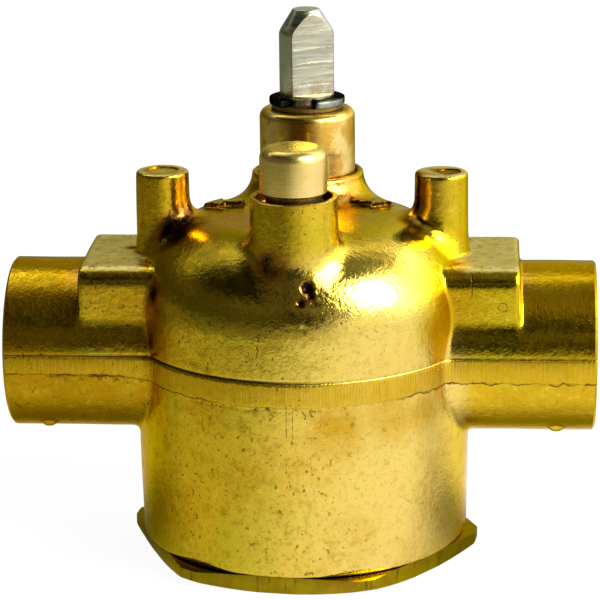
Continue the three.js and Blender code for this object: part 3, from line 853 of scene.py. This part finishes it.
def moulded(name, tint, bloom, rough):
    n = Finish(name)
    grain = n.noise(4.2, 3, 0.6)
    color = n.mix(n.clouds(0.7, 4, 0.6, 0.45, 0.75), tint, bloom)
    rough = n.ramp(grain, 0.3, 0.7, rough - 0.07, rough + 0.07)
    return n.finish(color, rough, n.bump(grain, 0.03 * MM, 0.5), metallic=0.0)


# ------------------------------------------------------------------ the forging's stains
def mesh_values(mesh, key, kind=float):
    """The mesh's points or their normals."""
    values = np.empty(len(mesh.vertices) * 3, kind)
    mesh.vertices.foreach_get(key, values)
    return values.reshape(-1, 3)


def paint_forging(obj):
    """Point attributes that say where the forging is stained, painted with shade in its hollows and holes,
    discoloured, worn pale or trimmed.
    """
    mesh = obj.data
    p = mesh_values(mesh, "co") / MM
    normal = mesh_values(mesh, "normal", np.float32)
    x, y, z = p.T
    hollow = 1 - forging(*(p + normal * 1.2).T) / 1.2
    wide = 1 - forging(*(p + normal * 2.6).T) / 2.6
    on_skin = np.abs(forging(x, y, z) + 0.1) < 0.3
    marks = port_marks(x, y)
    on_top = z > DOME_TOP - 3
    # Partly tarnish, partly painted shade: the dome is darkened in its hollows and creases, and on and round
    # its raised arrows.
    stain_and_shade = np.clip(hollow * 1.5 - 0.45, 0, 1) * 0.75 * (z > AXIS_Z + 9)
    stain_and_shade = np.maximum(stain_and_shade, np.exp(-np.maximum(marks, 0) / 0.4) * on_top * (z < 41) * (marks > -0.2))
    stain_and_shade = np.maximum(stain_and_shade, blots(x, y, z, STAINS))
    # Painted shade: the pin's and the sleeve's holes with the inner part of their rims, and the dish on the
    # right post, are painted dark, on and off the skin.
    in_hole = ((np.hypot(x, y - BOSS_Y) < 4.4) | (np.hypot(x, y - STEM_Y) < 6.0)) & (z > 38)
    in_dish = (np.hypot(x - POST_X - 0.85, y) < 1.4) & (z > LEDGE_Z - 0.6)
    copper = np.maximum(blots(x, y, z, COPPER), np.clip(wide * 1.2 - 0.3, 0, 1) * 0.6 * (z > AXIS_Z + 8))
    h = z - AXIS_Z
    outside = (np.hypot(y, h) > PORT_R - 0.6) | (np.hypot(x, y) > BARREL_R - 0.8)
    flash = outside * (np.abs(normal[:, 2]) < 0.6) * (np.abs(h) < 4)
    bearing = np.degrees(np.arctan2(x, -y))
    fold = flash * (0.12 + 0.88 * np.clip((bearing + 75) / 20, 0, 1) * np.clip((14 - bearing) / 24, 0, 1))
    pale = np.clip((normal[:, 2] - 0.75) * 6, 0, 1) * (h > 10) * (np.abs(x) > 17.5) * (np.abs(y) < 9)
    pale = np.maximum(pale, (z > LEDGE_Z - 0.3) * (normal[:, 2] > 0.8))
    port = np.clip((np.abs(x) - 17) / 4, 0, 1) * (h < 1) + np.clip((np.abs(x) - 24.4) / 0.8, 0, 1) * (h >= 1)
    brown = np.maximum(port * np.where(x < 0, 1.0, 0.6), blots(x, y, z, BROWNED))
    layers = {"stain_and_shade": stain_and_shade, "copper": copper, "flash": flash, "fold": fold, "pale": pale, "brown": brown,
              "dull": blots(x, y, z, DULLED)}
    for name, values in layers.items():
        add_layer(mesh, name, np.maximum(values * on_skin, 0.8 * (in_hole | in_dish) * (name == "stain_and_shade")))
    add_layer(mesh, "over_foot", h - flash_foot(x))


def add_layer(mesh, name, values):
    layer = mesh.attributes.new(name, "FLOAT", "POINT")
    layer.data.foreach_set("value", values.astype(np.float32))


def blots(x, y, z, places):
    """Soft round spots: each is full in its middle and gone a little past its size."""
    total = np.zeros(len(x))
    for sx, sy, sz, size, depth in places:
        d = np.sqrt((x - sx) ** 2 + (y - sy) ** 2 + (z - sz) ** 2)
        total = np.maximum(total, np.clip(1.35 - d / size, 0, 1) * depth)
    return total


# Places of single stains: x, y, z, size and strength.
STAINS = (
    (-12.9, -3.6, 36.6, 3.2, 1.9),
    (-13.3, -1.6, 38.6, 1.6, 1.2),
    (-14.6, -5.6, 35.2, 1.5, 0.8),
    (12.3, -2.2, 37.4, 1.9, 1.6),
    (12.9, -1.1, 41.0, 1.7, 1.3),
    (12.9, -1.1, 43.2, 1.5, 1.2),
    (-16.4, -10.1, 32.2, 1.5, 1.1),
    (-16.0, -10.6, 29.4, 1.3, 0.5),
    (-16.4, -10.1, 26.8, 1.4, 0.9),
    (-15.6, -11.2, 30.5, 1.0, 0.6),
    (-12.9, -1.3, 39.6, 1.8, 0.48),
    (-12.9, -1.3, 42.8, 1.8, 0.48),
    (1.7, -17.5, 35.2, 0.75, 1.9),
    (2.1, -18.0, 34.5, 0.6, 1.8),
    (1.0, -18.4, 33.8, 0.55, 1.7),
    (2.5, -18.4, 33.8, 0.5, 1.6),
    (-2.3, -16.3, 37.3, 2.0, 0.95),
    (-6.6, -17.6, 34.6, 0.5, 1.4),
    (0.2, -12.6, 38.6, 0.7, 0.9),
    (-4.3, -9.4, 39.4, 1.2, 1.0),
    (-19.5, 0.6, 34.8, 0.9, 1.1),
    (17.9, -7.2, 33.9, 0.9, 0.9),
    (17.6, -5.6, 34.8, 0.8, 0.7),
)
DULLED = (
    (-7.5, -12.0, 37.0, 5.0, 0.9),
    (-12.5, -8.5, 36.0, 4.5, 0.6),
    (-9.0, -15.5, 34.0, 3.5, 0.5),
    (8.5, -11.0, 37.5, 3.0, 0.5),
)
BROWNED = (
    (-16.5, -9.5, 19.5, 4.5, 0.9),
    (5.0, -18.5, 19.5, 3.5, 0.8),
    (10.5, -16.0, 20.5, 3.5, 0.7),
    (14.5, -12.5, 20.0, 3.0, 0.6),
    (-9.0, -17.0, 21.0, 3.0, 0.5),
    (-15.0, -12.0, 8.0, 4.0, 0.4),
    (-5.0, -18.4, 13.5, 3.5, 0.35),
    (17.0, -8.5, 30.0, 4.5, 0.8),
    (4.5, 5.5, 41.5, 3.6, 1.3),
    (-17.5, -8.0, 30.0, 4.0, 0.7),
)
COPPER = (
    (-6.5, -3.5, 39.3, 4.2, 1.0),
    (-9.5, -6.0, 38.0, 3.0, 0.6),
    (-14.0, 1.0, 38.0, 3.5, 0.8),
    (-12.6, -2.0, 38.2, 2.4, 0.9),
    (-12.0, 2.0, 43.0, 2.6, 0.6),
    (6.0, -1.5, 39.3, 2.6, 0.5),
    (4.5, 5.0, 41.0, 3.2, 0.55),
    (14.0, -1.0, 42.0, 3.0, 0.5),
)


# ------------------------------------------------------------------ turned pieces
def make_hex_plug():
    """The flange with its turned corners, the spigot that closes the body, and the third tube socket."""
    corner = FLANGE_HALF_FLAT / math.cos(math.pi / 6)
    turns = [FLANGE_TURN + i * math.pi / 3 for i in range(6)]
    points = [(corner * math.cos(a), corner * math.sin(a), z) for z in (0, FLANGE_TOP) for a in turns]
    sides = [(i, (i + 1) % 6, 6 + (i + 1) % 6, 6 + i) for i in range(6)]
    plug = mesh_object("hex_plug", points, [tuple(range(5, -1, -1)), tuple(range(6, 12))] + sides)
    blank = [(0, -1), (18.1, -1), (18.1, 0), (FLANGE_CORNER_R, 0.75, 0.3), (FLANGE_CORNER_R, 3), (0, 3)]
    carve(plug, [lathe("plug_blank", blank, 160)], "INTERSECT")
    spigot = [(0, 1), (17.05, 1), (17.05, 8.4, 0.3), (15.1, 8.4, 0.3), (15.1, 3.6, 0.4), (9.7, 3.6, 0.4),
              (9.7, 14.7, 0.3), (0, 14.7)]
    carve(plug, [lathe("plug_spigot", spigot, 160)], "UNION")
    socket = [(0, -1), (8.6, -1), (8.3, 0), (SOCKET_R, 0.3), (SOCKET_R, SOCKET_DEPTH), (6.3, SOCKET_DEPTH),
              (6.3, 16), (0, 16)]
    carve(plug, [lathe("plug_socket", socket)])
    bevelled(plug, 0.16, 3, 25)
    shade(plug, 30)
    return plug


def make_pin():
    profile = [(0, 39.2), (2.6, 39.2), (2.6, 43.0), (3.1, 43.0), (3.1, 44.55, 0.2), (PIN_R, 44.55, 0.18),
               (PIN_R, PIN_TOP, 1.25), (0, PIN_TOP)]
    return lathe("pin", profile, centre=(0, BOSS_Y), steps=8)


def make_sleeve():
    """A shouldered bush, with a seat for a bearing bush at each end."""
    top_seat, foot_seat = SLEEVE_TOP - 2.65, SLEEVE_FOOT + 2.65
    profile = [(4.9, SLEEVE_FOOT, 0.2), (4.9, 40.3), (SLEEVE_R, 40.3), (SLEEVE_R, SLEEVE_TOP, 0.95),
               (4.12, SLEEVE_TOP, 0.1), (4.12, top_seat), (3.3, top_seat), (3.3, foot_seat),
               (4.12, foot_seat), (4.12, SLEEVE_FOOT)]
    return lathe("sleeve", profile, closed=True, centre=(0, STEM_Y))


def make_stem():
    """The stem: hub, collar, two O-ring grooves, the clip's groove, the driving flat and the tip."""
    profile = [(0, 21.0), (2.5, 21.0), (2.5, 27.0), (STEM_R, 27.0), (STEM_R, 33.6), (4.6, 33.6, 0.2),
               (4.6, 34.9, 0.2), (STEM_R, 34.9)]
    for z, half, floor in ((41.1, 0.62, 2.1), (44.6, 0.62, 2.1), (50.17, 0.45, 2.5)):
        profile += [(STEM_R, z - half), (floor, z - half), (floor, z + half), (STEM_R, z + half)]
    profile += [(STEM_R, STEM_TAPER, 1.6), (STEM_TIP_R, STEM_TOP, 0.25), (0, STEM_TOP)]
    stem = lathe("stem_bar", profile, steps=6)
    flat = box_tool("flat", (-6, -8, FLAT_FOOT), (6, -STEM_FLAT, STEM_TOP + 2))
    hub_flat = box_tool("hub_flat", (-6, -8, 20), (6, -1.9, 27.0))
    hole = lathe("hole", [(0, 19), (1.57, 19), (1.57, 26.3), (0, 26.3)], 48)
    carve(stem, [flat, hub_flat, hole])
    bevelled(stem, 0.07, 2, 25)
    turn_to_stem(stem)
    shade(stem, 30)
    return stem


def box_tool(name, low, high):
    points = [(x, y, z) for x in (low[0], high[0]) for y in (low[1], high[1]) for z in (low[2], high[2])]
    faces = [(0, 1, 3, 2), (4, 6, 7, 5), (0, 4, 5, 1), (2, 3, 7, 6), (0, 2, 6, 4), (1, 5, 7, 3)]
    obj = mesh_object(name, points, faces)
    outward(obj)
    return obj


def turn_to_stem(obj):
    """From the stem's own frame, with the arm at -Y, to its rest place on the valve."""
    obj.data.transform(Matrix.Translation((0, STEM_Y * MM, 0)) @ Matrix.Rotation(SWING, 4, "Z"))


def make_clip():
    inner, outer, low, high, steps = 2.6, 4.4, 49.82, 50.52, 96
    gap, opening = math.radians(27), math.radians(-38) - math.pi / 2
    angles = np.linspace(opening + gap, opening + 2 * math.pi - gap, steps)
    points, faces = [], []
    for a in angles:
        points += [(r * math.cos(a), r * math.sin(a), z) for r, z in
                   ((inner, low), (outer, low), (outer, high), (inner, high))]
    for i in range(steps - 1):
        for k in range(4):
            faces.append((4 * i + k, 4 * i + (k + 1) % 4, 4 * i + 4 + (k + 1) % 4, 4 * i + 4 + k))
    last = 4 * (steps - 1)
    faces += [(0, 3, 2, 1), (last, last + 1, last + 2, last + 3)]
    clip = mesh_object("clip", points, faces)
    outward(clip)
    bevelled(clip, 0.09, 2, 30)
    turn_to_stem(clip)
    shade(clip, 30)
    return clip


def make_seat(name, side):
    face, back = 10.2, 20.35
    profile = [(4.9, face, 0.3), (6.85, face, 0.4), (6.85, back, 0.15), (5.9, back, 0.1),
               (4.9, back - 1, 0.1)]
    return lathe(name, [(r, z * side, *radius) for r, z, *radius in profile], closed=True, axis="X")


def make_ball():
    """The rubber ball, hollowed for its core. It is worked out about the arm, then laid level."""
    reach = STEM_Y / math.cos(SWING)
    near = reach - 5.2
    cut = math.asin(5.2 / BALL_R)
    angles = np.linspace(-cut, math.pi / 2, 40)
    outside = [(BALL_R * math.cos(a), reach + BALL_R * math.sin(a)) for a in angles[:-1]]
    inside = [(0, BALL_R), (0, 2.72), (3.02, 2.72), (3.02, 1.12), (4.22, 1.12), (4.22, -1.12), (3.02, -1.12)]
    inside = [(r, reach + along) for r, along in inside] + [(3.02, near)]
    ball = lathe("ball", outside + inside, 96, closed=True)
    ball.data.transform(Matrix.Translation((0, 0, AXIS_Z * MM)) @ Matrix.Rotation(math.pi / 2, 4, "X"))
    turn_to_stem(ball)
    return ball


# ------------------------------------------------------------------ what repeats
class Tree:
    """Short calls for building one Geometry Nodes tree with named inputs."""

    def __init__(self, name):
        self.group = bpy.data.node_groups.new(name, "GeometryNodeTree")
        for way in ("OUTPUT", "INPUT"):
            self.group.interface.new_socket("Geometry", in_out=way, socket_type="NodeSocketGeometry")
        self.values = {}
        self.start = None

    def input(self, name, kind, value):
        socket = self.group.interface.new_socket(name, in_out="INPUT", socket_type="NodeSocket" + kind)
        self.values[socket.identifier] = value

    def given(self, name):
        if not self.start:
            self.start = self.group.nodes.new("NodeGroupInput")
        return self.start.outputs[name]

    def feed(self, socket, value):
        if isinstance(value, bpy.types.NodeSocket):
            self.group.links.new(value, socket)
        else:
            socket.default_value = value

    def node(self, kind, settings=None, **inputs):
        node = self.group.nodes.new(kind)
        for key, value in (settings or {}).items():
            setattr(node, key, value)
        for key, value in inputs.items():
            self.feed(node.inputs[key.replace("_", " ")], value)
        return node

    def math(self, operation, a, b=0.0):
        node = self.node("ShaderNodeMath", {"operation": operation})
        self.feed(node.inputs[0], a)
        self.feed(node.inputs[1], b)
        return node.outputs["Value"]

    def scattered(self, low, high, offset):
        """A random number for each mark, from the tree's seed."""
        node = self.node("FunctionNodeRandomValue", {"data_type": "FLOAT"})
        sockets = {socket.identifier: socket for socket in node.inputs}
        sockets["Min_001"].default_value, sockets["Max_001"].default_value = low, high
        self.feed(sockets["Seed"], self.math("ADD", self.given("Seed"), offset))
        return node.outputs[1]

    def bar(self, x_steps, z_steps):
        """A bar one unit long each way. Its lift is 1 along its outer side's middle, 0 at the edges."""
        cube = self.node("GeometryNodeMeshCube", Size=(1, 1, 1), Vertices_X=x_steps, Vertices_Y=2,
                         Vertices_Z=z_steps)
        place = self.node("GeometryNodeInputPosition").outputs["Position"]
        axes = self.node("ShaderNodeSeparateXYZ", Vector=place).outputs
        across = self.math("ABSOLUTE", axes["X"] if z_steps > x_steps else axes["Z"])
        slope = self.math("SUBTRACT", 1.0, self.math("MULTIPLY", across, 2.0))
        outer = self.math("LESS_THAN", axes["Y"], 0.0)
        mesh = cube.outputs["Mesh"]
        for name, value in (("lift", self.math("MULTIPLY", slope, outer)), ("outer", outer)):
            stored = self.node("GeometryNodeStoreNamedAttribute", {"data_type": "FLOAT", "domain": "POINT"},
                               Geometry=mesh, Name=name, Value=value)
            mesh = stored.outputs["Geometry"]
        return mesh

    def finish(self, points, bar, width, widths, heights, **turned):
        """Ends the tree: a bar on each point, its width and height a random share of the ones given."""
        size = self.node("ShaderNodeCombineXYZ",
                         X=self.math("MULTIPLY", width, self.scattered(*widths, 0)),
                         Y=self.given("Thickness"),
                         Z=self.math("MULTIPLY", self.given("Height"), self.scattered(*heights, 1)))
        marks = self.node("GeometryNodeInstanceOnPoints", Points=points, Instance=bar,
                          Scale=size.outputs["Vector"], **turned)
        solid = self.node("GeometryNodeRealizeInstances", Geometry=marks.outputs["Instances"])
        painted = self.node("GeometryNodeSetMaterial", Geometry=solid.outputs["Geometry"],
                            Material=self.given("Material"))
        self.node("NodeGroupOutput", Geometry=painted.outputs["Geometry"])

    def grown(self, points, edges=(), **layers):
        """Runs the tree on points in millimetres, with their edges and values, into a plain mesh."""
        mesh = bpy.data.meshes.new(self.group.name)
        mesh.from_pydata((np.array(points) * MM).tolist(), list(edges), [])
        for name, values in layers.items():
            add_layer(mesh, name, values)
        obj = bpy.data.objects.new(self.group.name, mesh)
        bpy.context.scene.collection.objects.link(obj)
        modifier = obj.modifiers.new(self.group.name, "NODES")
        modifier.node_group = self.group
        for identifier, value in self.values.items():
            modifier[identifier] = value
        bake_modifiers(obj)
        return obj


def trim_tree(material):
    """Upright trimming marks, one after another along a line round the valve."""
    tree = Tree("trim_marks")
    for name, size in (("Spacing", 0.34), ("Width", 0.26), ("Thickness", 0.8), ("Height", 2.3)):
        tree.input(name, "Float", size * MM)
    tree.input("Seed", "Int", 11)
    tree.input("Material", "Material", material)
    curve = tree.node("GeometryNodeMeshToCurve", Mesh=tree.given("Geometry")).outputs["Curve"]
    line = tree.node("GeometryNodeResampleCurve", {"mode": "LENGTH"}, Curve=curve,
                     Length=tree.given("Spacing"))
    tangent = tree.node("GeometryNodeInputTangent").outputs["Tangent"]
    turn = tree.node("FunctionNodeAlignRotationToVector", {"axis": "X", "pivot_axis": "Z"}, Vector=tangent)
    tree.finish(line.outputs["Curve"], tree.bar(3, 7), tree.given("Width"), (0.6, 1.5), (0.55, 1.0),
                Rotation=turn.outputs["Rotation"])
    return tree


def mill_tree(material):
    """Level cutter marks, one at each point of a column up the stem's flat, as wide as the point's reach."""
    tree = Tree("mill_marks")
    for name, size in (("Thickness", 0.4), ("Height", 0.2)):
        tree.input(name, "Float", size * MM)
    tree.input("Seed", "Int", 5)
    tree.input("Material", "Material", material)
    reach = tree.node("GeometryNodeInputNamedAttribute", {"data_type": "FLOAT"}, Name="reach")
    tree.finish(tree.given("Geometry"), tree.bar(9, 3), reach.outputs["Attribute"], (1.7, 1.96), (0.5, 1.3))
    return tree


def bar_values(mesh):
    """Each point's place in millimetres, its lift and whether it is on the outer side."""
    values = [mesh_values(mesh, "co") / MM]
    for name in ("lift", "outer"):
        value = np.empty(len(mesh.vertices), np.float32)
        mesh.attributes[name].data.foreach_get("value", value)
        values.append(value)
    return values


def set_points(obj, points):
    """Puts a row of marks in its place, with its faces outward."""
    obj.data.vertices.foreach_set("co", (points * MM).ravel())
    obj.data.update()
    shade(obj, 50)
    outward(obj)


def outline(side, height, count=400):
    """Points round half the valve at a height, from one port's end to the other, the body on their left."""
    x = np.linspace(-HALF_SPAN + 0.8, HALF_SPAN - 0.8, count) * -side
    inner, outer = np.full(count, 4.0), np.full(count, BARREL_R + 1.0)
    for _ in range(24):
        middle = (inner + outer) / 2
        solid = forging(x, side * middle, np.full(count, height)) < 0
        inner, outer = np.where(solid, middle, inner), np.where(solid, outer, middle)
    return [(px, side * py, height) for px, py in zip(x, inner)]


def make_trim_marks(material):
    """Fine ridges that the trimming tool left on the flash, laid on the forging's own skin."""
    height = AXIS_Z - 0.3
    front, back = outline(-1, height), outline(1, height)
    edges = [(i, i + 1) for i in range(len(front) - 1)]
    edges += [(a + len(front), b + len(front)) for a, b in edges]
    marks = trim_tree(material).grown(front + back, edges)
    points, lift, outer = bar_values(marks.data)
    points[:, 2] = np.maximum(points[:, 2], AXIS_Z + flash_foot(points[:, 0]) + 0.15)
    depth = np.where(outer > 0.5, 0.026 * lift - 0.012, -0.14)
    for _ in range(4):
        points = stepped_to(forging, points, depth, 0.4)
    set_points(marks, points)
    return marks


def make_mill_marks(material):
    """Fine ridges that the cutter left on the stem's flat."""
    spacing = 0.24
    heights = np.arange(FLAT_FOOT + 0.15, STEM_TOP - 0.7, spacing)
    heights = heights + rng.uniform(-0.06, 0.06, len(heights))
    above_taper = np.maximum(heights - STEM_TAPER + 0.35, 0)
    radius = STEM_R - above_taper / (STEM_TOP - STEM_TAPER) * (STEM_R - STEM_TIP_R)
    reach = np.sqrt(np.maximum(radius ** 2 - STEM_FLAT ** 2, 0.04))
    column = [(0, -STEM_FLAT, z) for z in heights]
    marks = mill_tree(material).grown(column, reach=reach * MM)
    points, lift, outer = bar_values(marks.data)
    tall = 0.010 + 0.014 * (np.sin(9.1 * np.round(points[:, 2] / spacing)) > 0.7)
    points[:, 1] = -STEM_FLAT - np.where(outer > 0.5, tall * lift - 0.004, -0.1)
    points[:, 2] += 0.02 * points[:, 0] - 0.014 * points[:, 0] ** 2
    set_points(marks, points)
    turn_to_stem(marks)
    return marks


# ------------------------------------------------------------------ camera, light and floor
def direction_at(azimuth, elevation):
    """A direction: azimuth 0 is the front and 90 is port B."""
    a, e = math.radians(azimuth), math.radians(elevation)
    return Vector((math.cos(e) * math.sin(a), -math.cos(e) * math.cos(a), math.sin(e)))


def make_camera():
    azimuth, elevation, roll = 4.09, 16.879, math.radians(0.684)
    distance, sensor, lens = 0.30112, 36, 156.732
    aim_up, aim_right = 0.016177934, -0.0012901003
    back = direction_at(azimuth, elevation)
    right = direction_at(azimuth + 90, 0)
    up = back.cross(right)
    right, up = right * math.cos(roll) - up * math.sin(roll), right * math.sin(roll) + up * math.cos(roll)
    forward = (-back + up * aim_up + right * aim_right).normalized()
    right = forward.cross(up).normalized()
    up = right.cross(forward)
    data = bpy.data.cameras.new("camera")
    data.sensor_width, data.lens = sensor, lens
    data.clip_start, data.clip_end = 0.01, 20
    camera = bpy.data.objects.new("camera", data)
    place = Vector((0, 0, AXIS_Z * MM)) + back * distance
    turn = Matrix((right, up, -forward)).transposed()
    camera.matrix_world = Matrix.Translation(place) @ turn.to_4x4()
    bpy.context.scene.collection.objects.link(camera)
    bpy.context.scene.camera = camera


def level_turn(n, x, y, azimuth):
    """Cosine of the angle between a level direction and an azimuth."""
    a = math.radians(azimuth)
    return n.plus(n.times(x, math.sin(a)), n.times(y, -math.cos(a)))


def levelled(n, x, y):
    """A direction's level part, made one unit long."""
    size = n.math("MAXIMUM", n.length(x, y), 1e-4)
    return n.math("DIVIDE", x, size), n.math("DIVIDE", y, size)


def make_floor():
    """White paper. Brass mirrors it brighter on the right, and dim far off and under the valve."""
    size = 3.0 / MM
    corners = [(-size, -size, 0), (size, -size, 0), (size, size, 0), (-size, size, 0)]
    floor = mesh_object("floor", corners, [(0, 1, 2, 3)])
    n = Finish("paper_floor")
    px, py, _ = n.split(n.place)
    away = n.length(px, py)
    turn = n.minus(level_turn(n, *levelled(n, px, py), 72), n.ramp(away, 50, 200, 0, 0.45))
    side = n.ramp(turn, -0.54, 0.66)
    dim = n.ramp(away, 40, 200, 0.68, 0.19)
    under = n.times(n.ramp(n.absolute(py), 1, 20, 0.72, 0), n.ramp(n.absolute(px), 34, 48, 1, 0.4))
    glow = n.times(n.plus(dim, n.times(side, n.minus(1.2, dim))), n.minus(1.0, under))
    mirrored = n.new("ShaderNodeEmission")
    n.feed(mirrored.inputs["Color"], n.mix(side, rgb(1, 0.97, 0.72), rgb(1, 0.98, 1.4)))
    n.feed(mirrored.inputs["Strength"], glow)
    n.finish(rgb(0.07, 0.07, 0.07), 0.8, metallic=0.0, Specular_IOR_Level=0.1, Emission_Color=rgb(1, 1, 1),
             Emission_Strength=0.95)
    blend = n.new("ShaderNodeMixShader")
    n.feed(blend.inputs["Fac"], n.new("ShaderNodeLightPath").outputs["Is Glossy Ray"])
    n.feed(blend.inputs[1], n.shader.outputs["BSDF"])
    n.feed(blend.inputs[2], mirrored.outputs["Emission"])
    n.feed(n.tree.nodes["Material Output"].inputs["Surface"], blend.outputs["Shader"])
    floor.data.materials.append(n.material)


def area_light(name, azimuth, elevation, distance, size, glare, color=(1, 1, 1)):
    """A softbox that faces the valve. Its glare is how bright its own face looks."""
    direction = direction_at(azimuth, elevation)
    data = bpy.data.lights.new(name, "AREA")
    data.shape = "RECTANGLE"
    data.size, data.size_y = size
    data.energy = glare * math.pi * size[0] * size[1]
    data.color = color
    light = bpy.data.objects.new(name, data)
    place = Vector((0, 0, 0.03)) + direction * distance
    turn = direction.to_track_quat("Z", "Y").to_matrix()
    light.matrix_world = Matrix.Translation(place) @ turn.to_4x4()
    bpy.context.scene.collection.objects.link(light)


def make_light():
    """A room that is bright on the right and dim on the left and in front, and four softboxes."""
    world = bpy.data.worlds.new("studio")
    bpy.context.scene.world = world
    n = Nodes(world)
    across, y, z = n.split(n.new("ShaderNodeTexCoord").outputs["Generated"])
    x, y = levelled(n, across, y)
    above_key = n.times(n.ramp(level_turn(n, x, y, 80), 0.5, 0.9), n.ramp(z, 0.25, 0.5, 0, 0.4))
    wall = n.times(n.ramp(level_turn(n, x, y, 85), -0.6, 0.9, 0.24, 1.25), n.ramp(z, 0.62, 0.86, 1, 0.22),
                   n.minus(1.0, above_key))
    dark_side = n.times(n.ramp(level_turn(n, x, y, -62), -0.12, 0.3), n.ramp(z, -0.02, 0.10))
    front = n.times(n.ramp(level_turn(n, x, y, 5), 0.75, 0.93), n.ramp(z, 0.20, 0.30))
    overhead = n.times(n.ramp(z, 0.66, 0.95), n.ramp(across, -0.15, 0.05, 0.03, 0.30))
    band = n.times(n.line(z, 0.44, 0.11), n.ramp(across, -0.12, 0.0, 0.06, 0.22))
    haze = n.times(n.ramp(across, -0.25, -0.08, 0.075, 0), n.ramp(z, 0.5, 0.65, 1, 0))
    dusk = n.plus(overhead, band, haze)
    bright = n.joined(wall, wall, n.times(wall, n.ramp(wall, 0.3, 1.2, 0.8, 1.4)))
    dim = n.joined(dusk, n.times(dusk, 0.86), n.times(dusk, 0.6))
    background = n.tree.nodes["Background"]
    n.feed(background.inputs["Color"], n.mix(n.most(dark_side, front), bright, dim))
    area_light("key", 61, 36, 0.9, (0.50, 0.44), 17, (0.95, 1.0, 1.12))
    area_light("key_halo", 96, 28, 1.0, (1.1, 0.75), 1.5)
    area_light("back_strip", 184, 61, 0.9, (2.2, 0.10), 2.9)
    area_light("left_strip", 230, 66, 0.93, (0.45, 0.5), 1.0)


# ------------------------------------------------------------------ the valve
make_camera()
make_floor()
make_light()
bpy.context.scene.view_settings.view_transform = "Standard"

forged = forged_brass()
plug_brass = turned_metal("turned_brass", rgb(0.32, 0.235, 0.005), rgb(0.22, 0.155, 0.003), 0.26, (0, 0, 0),
                          tarnish=plug_tarnish)
pin_brass = turned_metal("pin_brass", rgb(0.88, 0.67, 0.20), rgb(0.78, 0.57, 0.12), 0.27, (0, BOSS_Y, 0),
                         ring_depth=0.03)
sleeve_brass = turned_metal("sleeve_brass", rgb(0.88, 0.67, 0.20), rgb(0.68, 0.45, 0.06), 0.28,
                            (0, STEM_Y, 0), tarnish=sleeve_tarnish)
seat_brass = turned_metal("seat_brass", rgb(0.84, 0.70, 0.36), rgb(0.70, 0.53, 0.20), 0.25, (0, 0, AXIS_Z),
                          axis="X")
steel = milled_steel()
clip_steel = black_oxide()
screw_steel = plain_metal("screw_steel", rgb(0.60, 0.59, 0.56), rgb(0.42, 0.41, 0.38), 0.32)
bronze = plain_metal("bush_bronze", rgb(0.24, 0.16, 0.04), rgb(0.14, 0.09, 0.02), 0.42)
arm_brass = plain_metal("arm_brass", rgb(0.80, 0.64, 0.30), rgb(0.64, 0.47, 0.17), 0.3)
rubber = moulded("seal_rubber", rgb(0.02, 0.02, 0.022), rgb(0.05, 0.05, 0.05), 0.55)
ptfe = moulded("white_ptfe", rgb(0.80, 0.79, 0.74), rgb(0.68, 0.66, 0.60), 0.45)


def place(piece, body, material, slot, *nodes):
    """Gives a piece its material and body, and hides the CAD nodes that it stands in for. The slot is not
    used.
    """
    if material:
        piece.data.materials.clear()
        piece.data.materials.append(material)
    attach(piece, body)
    if nodes:
        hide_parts(*nodes)


body_piece = make_forging()
paint_forging(body_piece)
place(body_piece, "body", forged, "forged_brass", "valve_body")
place(make_trim_marks(trimmed_brass()), "body", None, "forged_brass")
place(make_mill_marks(steel), "stem", None, "steel")
place(make_hex_plug(), "body", plug_brass, "machined_brass", "bottom_plug")
place(make_pin(), "body", pin_brass, "machined_brass", "latch_pin")
place(make_sleeve(), "body", sleeve_brass, "machined_brass", "stem_sleeve")
place(make_seat("seat_a", -1), "body", seat_brass, "machined_brass", "seat_ring_a")
place(make_seat("seat_b", 1), "body", seat_brass, "machined_brass", "seat_ring_b")
place(make_stem(), "stem", steel, "steel", "stem")
place(make_clip(), "stem", clip_steel, "black_steel", "retaining_clip")
place(make_ball(), "stem", rubber, "rubber", "seal_ball")

CARRIED = {
    rubber: ("plug_o_ring", "upper_stem_o_ring", "lower_stem_o_ring"),
    bronze: ("upper_stem_bush", "lower_stem_bush", "clip_washer"),
    ptfe: ("sleeve_gasket", "thrust_washer"),
    arm_brass: ("ball_arm", "ball_core"),
    screw_steel: ("arm_washer", "arm_screw"),
}
for material, names in CARRIED.items():
    for name in names:
        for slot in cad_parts[name].material_slots:
            slot.material = material
